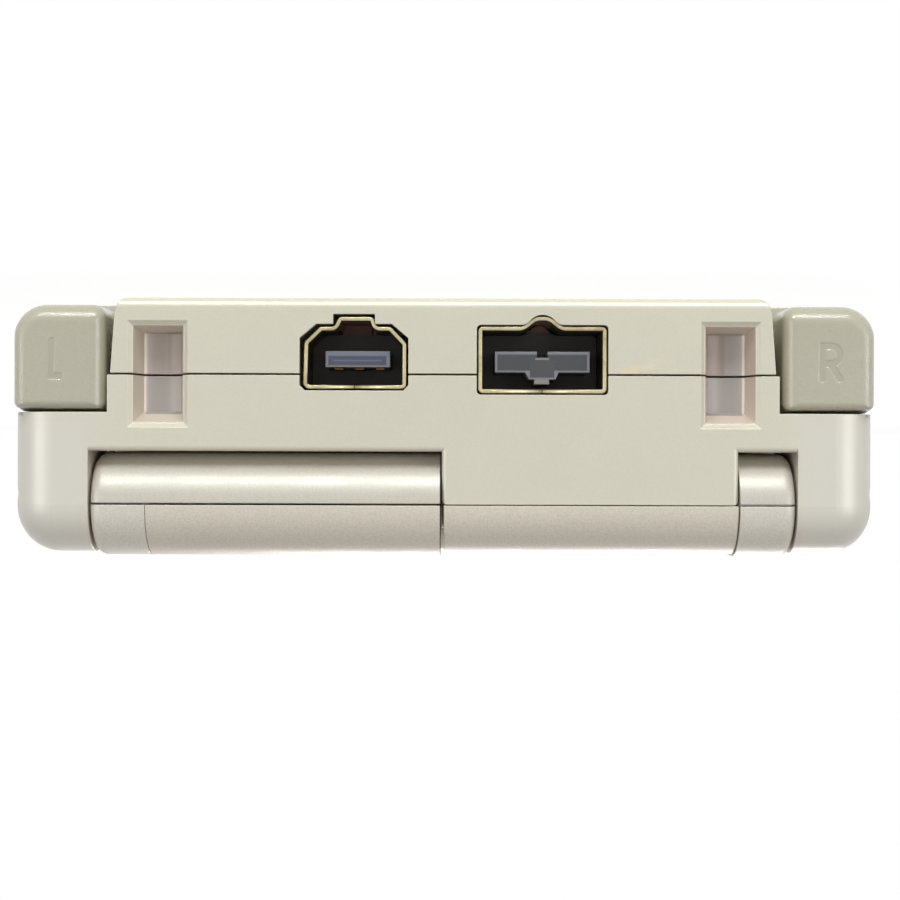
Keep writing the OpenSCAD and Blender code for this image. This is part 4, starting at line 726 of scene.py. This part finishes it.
@dataclass
class ShoulderButton(SubAssembly):
    """A shoulder button: a rounded block with a plain letter sunk in its rear face.

    Its edges round by a different amount towards the floor, the lid, the ports and the
    console's side, and the corners on the floor's side are the rounder ones. It is hollow
    and open at the front, where it ends round its pin.
    """

    side: Side = Side.LEFT
    letter: Letter = Letter()
    corner_outer: float = 3.1 * MM
    corner_inner: float = 1.3 * MM
    corner_lid: float = 0.75 * MM
    corner_least: float = 0.3 * MM
    edge_floor: float = 1.7 * MM
    edge_lid: float = 0.78 * MM
    edge_inner: float = 1.4 * MM
    edge_outer: float = 1.3 * MM
    outer_trim: float = 0.3 * MM
    flange: float = 0.25 * MM
    flange_back: float = 1.7 * MM
    flange_depth: float = 0.3 * MM
    flange_slope: float = 0.2 * MM
    flange_step: float = 0.1 * MM
    hub_radius: float = 1.2 * MM
    hub_front: float = 0.6 * MM
    hollow_inner: float = 2.7 * MM
    hollow_outer: float = 2.4 * MM
    hollow_wall: float = 1.3 * MM
    hollow_rear: float = 1.8 * MM
    hollow_corner: float = 0.4 * MM
    corner_steps: int = 40
    face_rings: int = 90
    wall_rows: int = 9
    turn_rows: int = 16

    @property
    def name(self) -> str:
        """Name of the solid that the button stands for."""
        return f"shoulder_button_{self.side.name.lower()}"

    @property
    def front(self) -> float:
        """Place of the open front along Y."""
        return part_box(self.name)[0].y + self.hub_front

    def by_side(self, inner: object, outer: object) -> tuple:
        """Puts the values of the inner and the outer side in the order of X."""
        return (inner, outer) if self.side is Side.RIGHT else (outer, inner)

    def ring(self, draw: float) -> tuple[np.ndarray, np.ndarray]:
        """Gives the outline drawn in by a share of each side's edge.

        Args:
            draw: The share, from 0 at the wall to 1 at the face.

        Returns:
            The points in X and Z, and the edge's radius at each. The radius is the sum of
            the four sides' radii, each times the squared share of the normal that faces it.
        """
        low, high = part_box(self.name)
        edge_left, edge_right = self.by_side(self.edge_inner, self.edge_outer)
        trim_left, trim_right = self.by_side(0.0, self.outer_trim)
        floor_left, floor_right = self.by_side(self.corner_inner, self.corner_outer)
        radii = np.array([floor_right, self.corner_lid, self.corner_lid, floor_left])
        drawn = np.maximum(radii - draw * self.edge_outer, np.minimum(radii, self.corner_least))
        points, inward = rounded_outline(
            (low.x + trim_left + draw * edge_left, low.z + draw * self.edge_floor),
            (high.x - trim_right - draw * edge_right, high.z - draw * self.edge_lid), drawn,
            self.corner_steps)
        across = np.where(inward[:, 0] > 0, edge_left, edge_right)
        upright = np.where(inward[:, 1] > 0, self.edge_floor, self.edge_lid)
        return points, inward[:, 0] ** 2 * across + inward[:, 1] ** 2 * upright

    def outlines(self) -> tuple[np.ndarray, np.ndarray]:
        """Carries the outline in X and Z from the open front to the rear face.

        Near the rear it draws in along a quarter circle: at an angle t it moves in by
        r (1 - cos t) and stands at rear - r (1 - sin t). Ahead of that its rows stand at
        the squares of even shares of the way.

        Returns:
            The outlines, and each of their points' Y.
        """
        turn = np.linspace(0, math.pi / 2, self.turn_rows)
        rings = [self.ring(1 - math.cos(t)) for t in turn]
        radius = rings[0][1]
        curved = np.stack([points for points, _ in rings])
        curved_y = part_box(self.name)[1].y - radius * (1 - np.sin(turn)[:, None])
        share = np.linspace(0, 1, self.wall_rows + 1)[:-1, None] ** 2
        depth = np.concatenate([self.front + (curved_y[:1] - self.front) * share, curved_y])
        return np.concatenate([np.repeat(curved[:1], self.wall_rows, axis=0), curved]), depth

    def wall_grid(self, outline: np.ndarray, depth: np.ndarray) -> np.ndarray:
        """Gives the wall, with its hub at the front and its flange on the lid's side.

        Round the hub of radius r, the inner side draws in by r - sqrt(r r - a a) at a
        distance a ahead of the hub's rear. The flange stands out ahead of the rear edge
        and closes most of the gap there.

        Args:
            outline: The outlines in X and Z.
            depth: Each of their points' Y.

        Returns:
            Rows by columns by 3.
        """
        low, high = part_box(self.name)
        lid_side = (outline[..., 1] - high.z + self.flange_depth) / self.flange_slope
        ahead_of_edge = (high.y - self.flange_back - depth) / self.flange_step
        raised = self.flange * np.clip(lid_side, 0, 1) * np.clip(ahead_of_edge, 0, 1)
        ahead = np.clip(self.front + self.hub_front - depth, 0, self.hub_front)
        drawn = self.hub_radius - np.sqrt(self.hub_radius ** 2 - ahead ** 2)
        left, right = self.by_side(drawn, 0.0)
        across = np.clip(outline[..., 0], low.x + left, high.x - right)
        return np.stack([across, depth, outline[..., 1] + raised], axis=-1)

    def hollow_grid(self) -> np.ndarray:
        """Gives the hollow's wall from its inner end to the open front.

        Returns:
            Two rows by columns by 3.
        """
        low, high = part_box(self.name)
        left, right = self.by_side(self.hollow_inner, self.hollow_outer)
        hollow, _ = rounded_outline(
            (low.x + left, low.z + self.hollow_wall), (high.x - right, high.z - self.hollow_wall),
            [self.hollow_corner] * 4, self.corner_steps)
        return np.stack([np.insert(hollow, 1, y, axis=1)
                         for y in (high.y - self.hollow_rear, self.front)])

    def face_grid(self, edge: np.ndarray) -> tuple[np.ndarray, np.ndarray]:
        """Gives the rear face, whose rings shrink evenly from its edge to its middle.

        Args:
            edge: The face's outline in X and Z.

        Returns:
            Rows by columns by 3, and how far each point sinks in the letter.
        """
        share = np.linspace(0, 1, self.face_rings + 1)[1:-1, None, None]
        rings = edge + (edge.mean(axis=0) - edge) * share
        sunk = self.letter.sunk(self.side, rings)
        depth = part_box(self.name)[1].y - self.letter.depth * sunk
        return np.stack([rings[..., 0], depth, rings[..., 1]], axis=-1), sunk

    def build(self) -> bpy.types.Object:
        """Builds the button: its hollow, then its wall, then its rear face.

        Returns:
            The piece.
        """
        outline, depth = self.outlines()
        face, sunk = self.face_grid(outline[-1])
        grid = np.concatenate([self.hollow_grid(), self.wall_grid(outline, depth), face])
        # the letter's share of sinking also sets how much painted shade it gets
        mark = np.zeros(grid.shape[:2])
        mark[-len(sunk):] = sunk
        piece = surface(f"{self.name}_skin", grid, self.finishes.get(Palette.BUTTON),
                        around=True, close_ends=True, mark=mark)
        self.place(piece, self.name, "button_grey", self.name)
        return piece


@dataclass
class BaseHousing(SubAssembly):
    """The base's shells, covers, door and the pieces inside them."""

    def dress_all(self) -> None:
        """Gives the base's solids their finishes."""
        self.dress(Palette.CREAM, "base_lower_shell", "base_upper_shell", "battery_door",
                   "cartridge_guide")
        self.dress(Palette.COVER, "hinge_centre_cover", "hinge_caps")
        self.dress(Palette.STEEL, "battery_door_screw", "base_screws", "shoulder_pins",
                   "shoulder_springs", "hinge_pin", "hinge_clutch_shaft", "dpad_pivot")
        self.dress(Palette.DARK, "board_chips", "cartridge_connector", "speaker",
                   "shoulder_switches", "power_switch_body", "volume_potentiometer")
        self.dress(Palette.BOARD, "main_board")
        self.dress(Palette.CELL, "battery")
        self.dress(Palette.GOLD, "battery_contacts")
        self.dress(Palette.LIGHT, "led_light_pipe")
        self.dress(Palette.RUBBER, "dpad_membrane", "action_membrane", "menu_membrane")
        self.dress(Palette.CABLE, "display_cable_base")


@dataclass
class PortSleeve(SubAssembly):
    """A port's thin metal sleeve, bent from one strip whose two ends meet at a split.

    The bends and the split's two ends are in millimetres. Each bend has its X, its Z and
    its radius. They start beside the split on the lid's side and go round towards the
    right.
    """

    node: str = "link_port_shell"
    bends: tuple[tuple[float, float, float], ...] = ()
    split: tuple[float, float] = (0.0, 0.0)
    wall: float = 0.4 * MM
    lip_round: float = 0.14 * MM
    # strength of the painted shade on the lip's rounded edges
    lip_shade_share: float = 0.8
    arc_steps: int = 9
    lip_steps: int = 7
    wall_steps: int = 5

    def line(self) -> tuple[np.ndarray, np.ndarray]:
        """Gives the sleeve's outer line from one end of the split to the other.

        Returns:
            The points in X and Z, and the inward normals.
        """
        start, end = self.split
        bends = np.array(self.bends)
        corners = np.array([(start, bends[0, 1]), *bends[:, :2], (end, bends[-1, 1])])
        return filleted(corners * MM, bends[:, 2] * MM, self.arc_steps)

    def build(self) -> bpy.types.Object:
        """Builds the sleeve.

        A profile is carried along the filleted line. At a distance d inwards from the line it
        goes back along d = 0 and round a quarter circle, d = r (1 - cos t) and y = rear - r (1 -
        sin t). Then it crosses to the same quarter turned over, and goes forwards along d = w. A
        painted shade on the lip's rounded edges has a share of 1 where each quarter meets its
        wall and 0 where the two quarters meet.

        Returns:
            The piece.
        """
        low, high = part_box(self.node)
        line, inward = self.line()
        turn = np.linspace(0, math.pi / 2, self.lip_steps)
        across = self.lip_round * (1 - np.cos(turn))
        back = self.lip_round * (1 - np.sin(turn))
        run = np.linspace(low.y, high.y - self.lip_round, self.wall_steps)[:-1]
        inset = np.concatenate([np.zeros(run.size), across, self.wall - across[::-1],
                                np.full(run.size, self.wall)])
        depth = np.concatenate([run, high.y - back, high.y - back[::-1], run[::-1]])
        flat = line[:, None] + inward[:, None] * inset[None, :, None]
        grid = np.stack([flat[..., 0], np.broadcast_to(depth, flat.shape[:2]), flat[..., 1]],
                        axis=-1)
        # share of painted shade on the lip's rounded edges
        lip = np.concatenate([np.zeros(run.size), 1 - turn / turn[-1], turn / turn[-1],
                              np.zeros(run.size)])
        mark = np.broadcast_to(lip * self.lip_shade_share, flat.shape[:2])
        piece = surface(f"{self.node}_sleeve", grid, self.finishes.get(Palette.PORT_METAL),
                        around=True, close_ends=True, mark=mark)
        self.place(piece, "base", "port_metal", self.node)
        return piece


@dataclass
class Ports(SubAssembly):
    """The link and power ports."""

    def dress_all(self) -> None:
        """Gives the ports' solids their finishes and builds the two sleeves."""
        self.dress(Palette.LINK_CORE, "link_port_core")
        self.dress(Palette.POWER_CORE, "power_port_core")
        self.dress(Palette.GOLD, "link_port_contacts", "power_port_contacts")
        PortSleeve(self.finishes, node="link_port_shell", split=(-8.43, -8.51), bends=(
            (-3.55, 8.63, 0.50), (-3.55, 4.30, 0.50), (-5.03, 2.75, 0.50), (-6.40, 2.74, 0.45),
            (-6.66, 1.82, 0.48), (-9.92, 1.82, 0.48), (-10.36, 2.74, 0.45),
            (-11.67, 2.74, 0.60), (-13.17, 4.20, 0.60), (-13.30, 8.63, 0.62))).build()
        PortSleeve(self.finishes, node="power_port_shell", split=(9.26, 9.18), bends=(
            (15.32, 9.01, 0.50), (15.32, 2.68, 0.45), (11.15, 2.68, 1.05), (9.95, 1.73, 1.50),
            (8.55, 1.73, 1.50), (7.35, 2.68, 1.05), (3.18, 2.68, 0.45), (3.18, 9.01, 0.50)),
            wall=0.42 * MM).build()


@dataclass
class Lid(SubAssembly):
    """The lid's shells, screen and hinge pieces."""

    def dress_all(self) -> None:
        """Gives the lid's solids their finishes."""
        self.dress(Palette.LID, "lid_outer_shell")
        self.dress(Palette.COVER, "knuckle_cover")
        self.dress(Palette.KNUCKLE, "lid_inner_shell")
        self.dress(Palette.LENS, "screen_lens")
        self.dress(Palette.LIGHT, "light_guide")
        self.dress(Palette.DARK, "display_panel")
        self.dress(Palette.RUBBER, "lid_bumpers")
        self.dress(Palette.STEEL, "lid_screws", "hinge_clutch_body")
        self.dress(Palette.CABLE, "display_cable_lid")


@dataclass
class Controls(SubAssembly):
    """The buttons, the pad and the sliders."""

    def dress_all(self) -> None:
        """Gives the controls their finish and builds the shoulder buttons."""
        self.dress(Palette.BUTTON, "dpad", "button_a", "button_b", "button_start",
                   "button_select", "button_light", "power_switch_knob", "volume_slider_knob")
        ShoulderButton(self.finishes, side=Side.LEFT).build()
        letter = Letter(x=36.38 * MM, z=6.03 * MM, height=3.08 * MM, width=1.63 * MM)
        ShoulderButton(self.finishes, side=Side.RIGHT, letter=letter).build()


# ---------------------------------------------------------------- studio


@dataclass(frozen=True)
class SoftLight:
    """A rectangular soft lamp that looks at a point, here the middle of the rear edge."""

    name: str
    place: Point
    power: float
    width: float = 0.35
    height: float = 0.35
    target: Point = (0.0, 0.03, 0.012)

    def build(self) -> None:
        """Makes the lamp.

        Only its own samples find it, and not reflected rays, which the floor would stop.
        """
        lamp = bpy.data.lights.new(self.name, "AREA")
        lamp.shape = "RECTANGLE"
        lamp.size = self.width
        lamp.size_y = self.height
        lamp.energy = self.power
        lamp.cycles.use_multiple_importance_sampling = False
        piece = bpy.data.objects.new(self.name, lamp)
        bpy.context.scene.collection.objects.link(piece)
        away = np.asarray(self.place) - np.asarray(self.target)
        flat = math.hypot(away[0], away[1])
        piece.location = self.place
        piece.rotation_euler = (math.atan2(flat, away[2]), 0, math.atan2(away[0], -away[1]))


@dataclass
class Studio:
    """The camera, the floor, the white backdrop and the lamps."""

    camera_x: float = 0.57 * MM
    camera_z: float = 14.34 * MM
    camera_away: float = 160 * MM
    frame_width: float = 84.6 * MM
    roll: float = math.radians(0.17)
    sensor: float = 36.0
    clip: float = 1 * MM
    world_strength: float = 0.3
    world_colour: Colour = (255, 243, 248)
    floor_half: float = 1.2
    floor_glow: float = 0.95
    floor_seen: float = 0.12
    floor_lit: float = 0.82
    lamps: tuple[SoftLight, ...] = field(default_factory=lambda: (
        SoftLight("lamp_above", (0.1, -0.52, 0.46), 2.1, width=0.4, target=(0.0, 0.0, 0.012)),
        SoftLight("lamp_rear_low", (0.0, 0.37, -0.44), 2.0, width=0.5, height=0.2),
        SoftLight("lamp_rear_left", (-0.5, 0.45, 0.0), 0.65),
        SoftLight("lamp_rear_right", (0.5, 0.45, 0.0), 0.75),
    ))

    def build(self, rear: float) -> None:
        """Builds the whole studio.

        Args:
            rear: Place of the console's rear face along Y.
        """
        self.build_camera(rear)
        self.build_floor()
        self.build_world()
        for lamp in self.lamps:
            lamp.build()
        bpy.context.scene.view_settings.view_transform = "Standard"

    def build_camera(self, rear: float) -> None:
        """Makes the camera. It looks along -Y at the rear face, with the underside up.

        The lens takes in the frame's width at the rear face: lens over sensor equals
        distance over width.

        Args:
            rear: Place of the console's rear face along Y.
        """
        data = bpy.data.cameras.new("camera")
        data.sensor_width = self.sensor
        data.lens = self.sensor * self.camera_away / self.frame_width
        data.clip_start = self.clip
        camera = bpy.data.objects.new("camera", data)
        bpy.context.scene.collection.objects.link(camera)
        camera.location = (self.camera_x, rear + self.camera_away, self.camera_z)
        camera.rotation_euler = (-math.pi / 2, self.roll, 0)
        bpy.context.scene.camera = camera

    def build_floor(self) -> None:
        """Makes the pale floor. It shows nearly white and keeps a faint shadow."""
        sides = np.array([-self.floor_half, self.floor_half])
        corners = np.stack([*np.meshgrid(sides, sides), np.zeros((2, 2))], axis=-1)
        graph = Graph(bpy.data.materials.new("floor_paper"))
        seen = graph.seen()
        lit, shown = ((level, level, level, 1.0) for level in (self.floor_lit, self.floor_seen))
        paper = graph.add("ShaderNodeBsdfDiffuse", {"Color": graph.mix(seen, lit, shown)})
        glow = graph.math("MULTIPLY", seen, self.floor_glow)
        white = graph.add("ShaderNodeEmission", {"Color": WHITE, "Strength": glow})
        both = graph.add("ShaderNodeAddShader", {0: paper.outputs[0], 1: white.outputs[0]})
        floor = surface("floor", corners, graph.finish(both))
        floor.visible_shadow = False

    def build_world(self) -> None:
        """Makes the world: white where it is seen, softer where it lights."""
        graph = Graph(bpy.data.worlds.new("studio"))
        seen = graph.seen()
        bpy.context.scene.world = graph.finish(graph.add("ShaderNodeBackground", {
            "Color": graph.mix(seen, linear(self.world_colour), WHITE),
            "Strength": graph.ramp(seen, 0.0, 1.0, self.world_strength, 1.0),
        }))


# ---------------------------------------------------------------- main


def main() -> None:
    """Loads the solids, dresses them, adds the pieces and builds the studio."""
    logging.basicConfig(level=logging.INFO, format="%(name)s: %(message)s")
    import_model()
    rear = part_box("base_upper_shell")[1].y
    Studio().build(rear)
    finishes = Finishes()
    for part in (BaseHousing, Ports, Lid, Controls):
        part(finishes).dress_all()
        LOG.info("%s dressed", part.__name__)


if __name__ == "__main__":
    main()
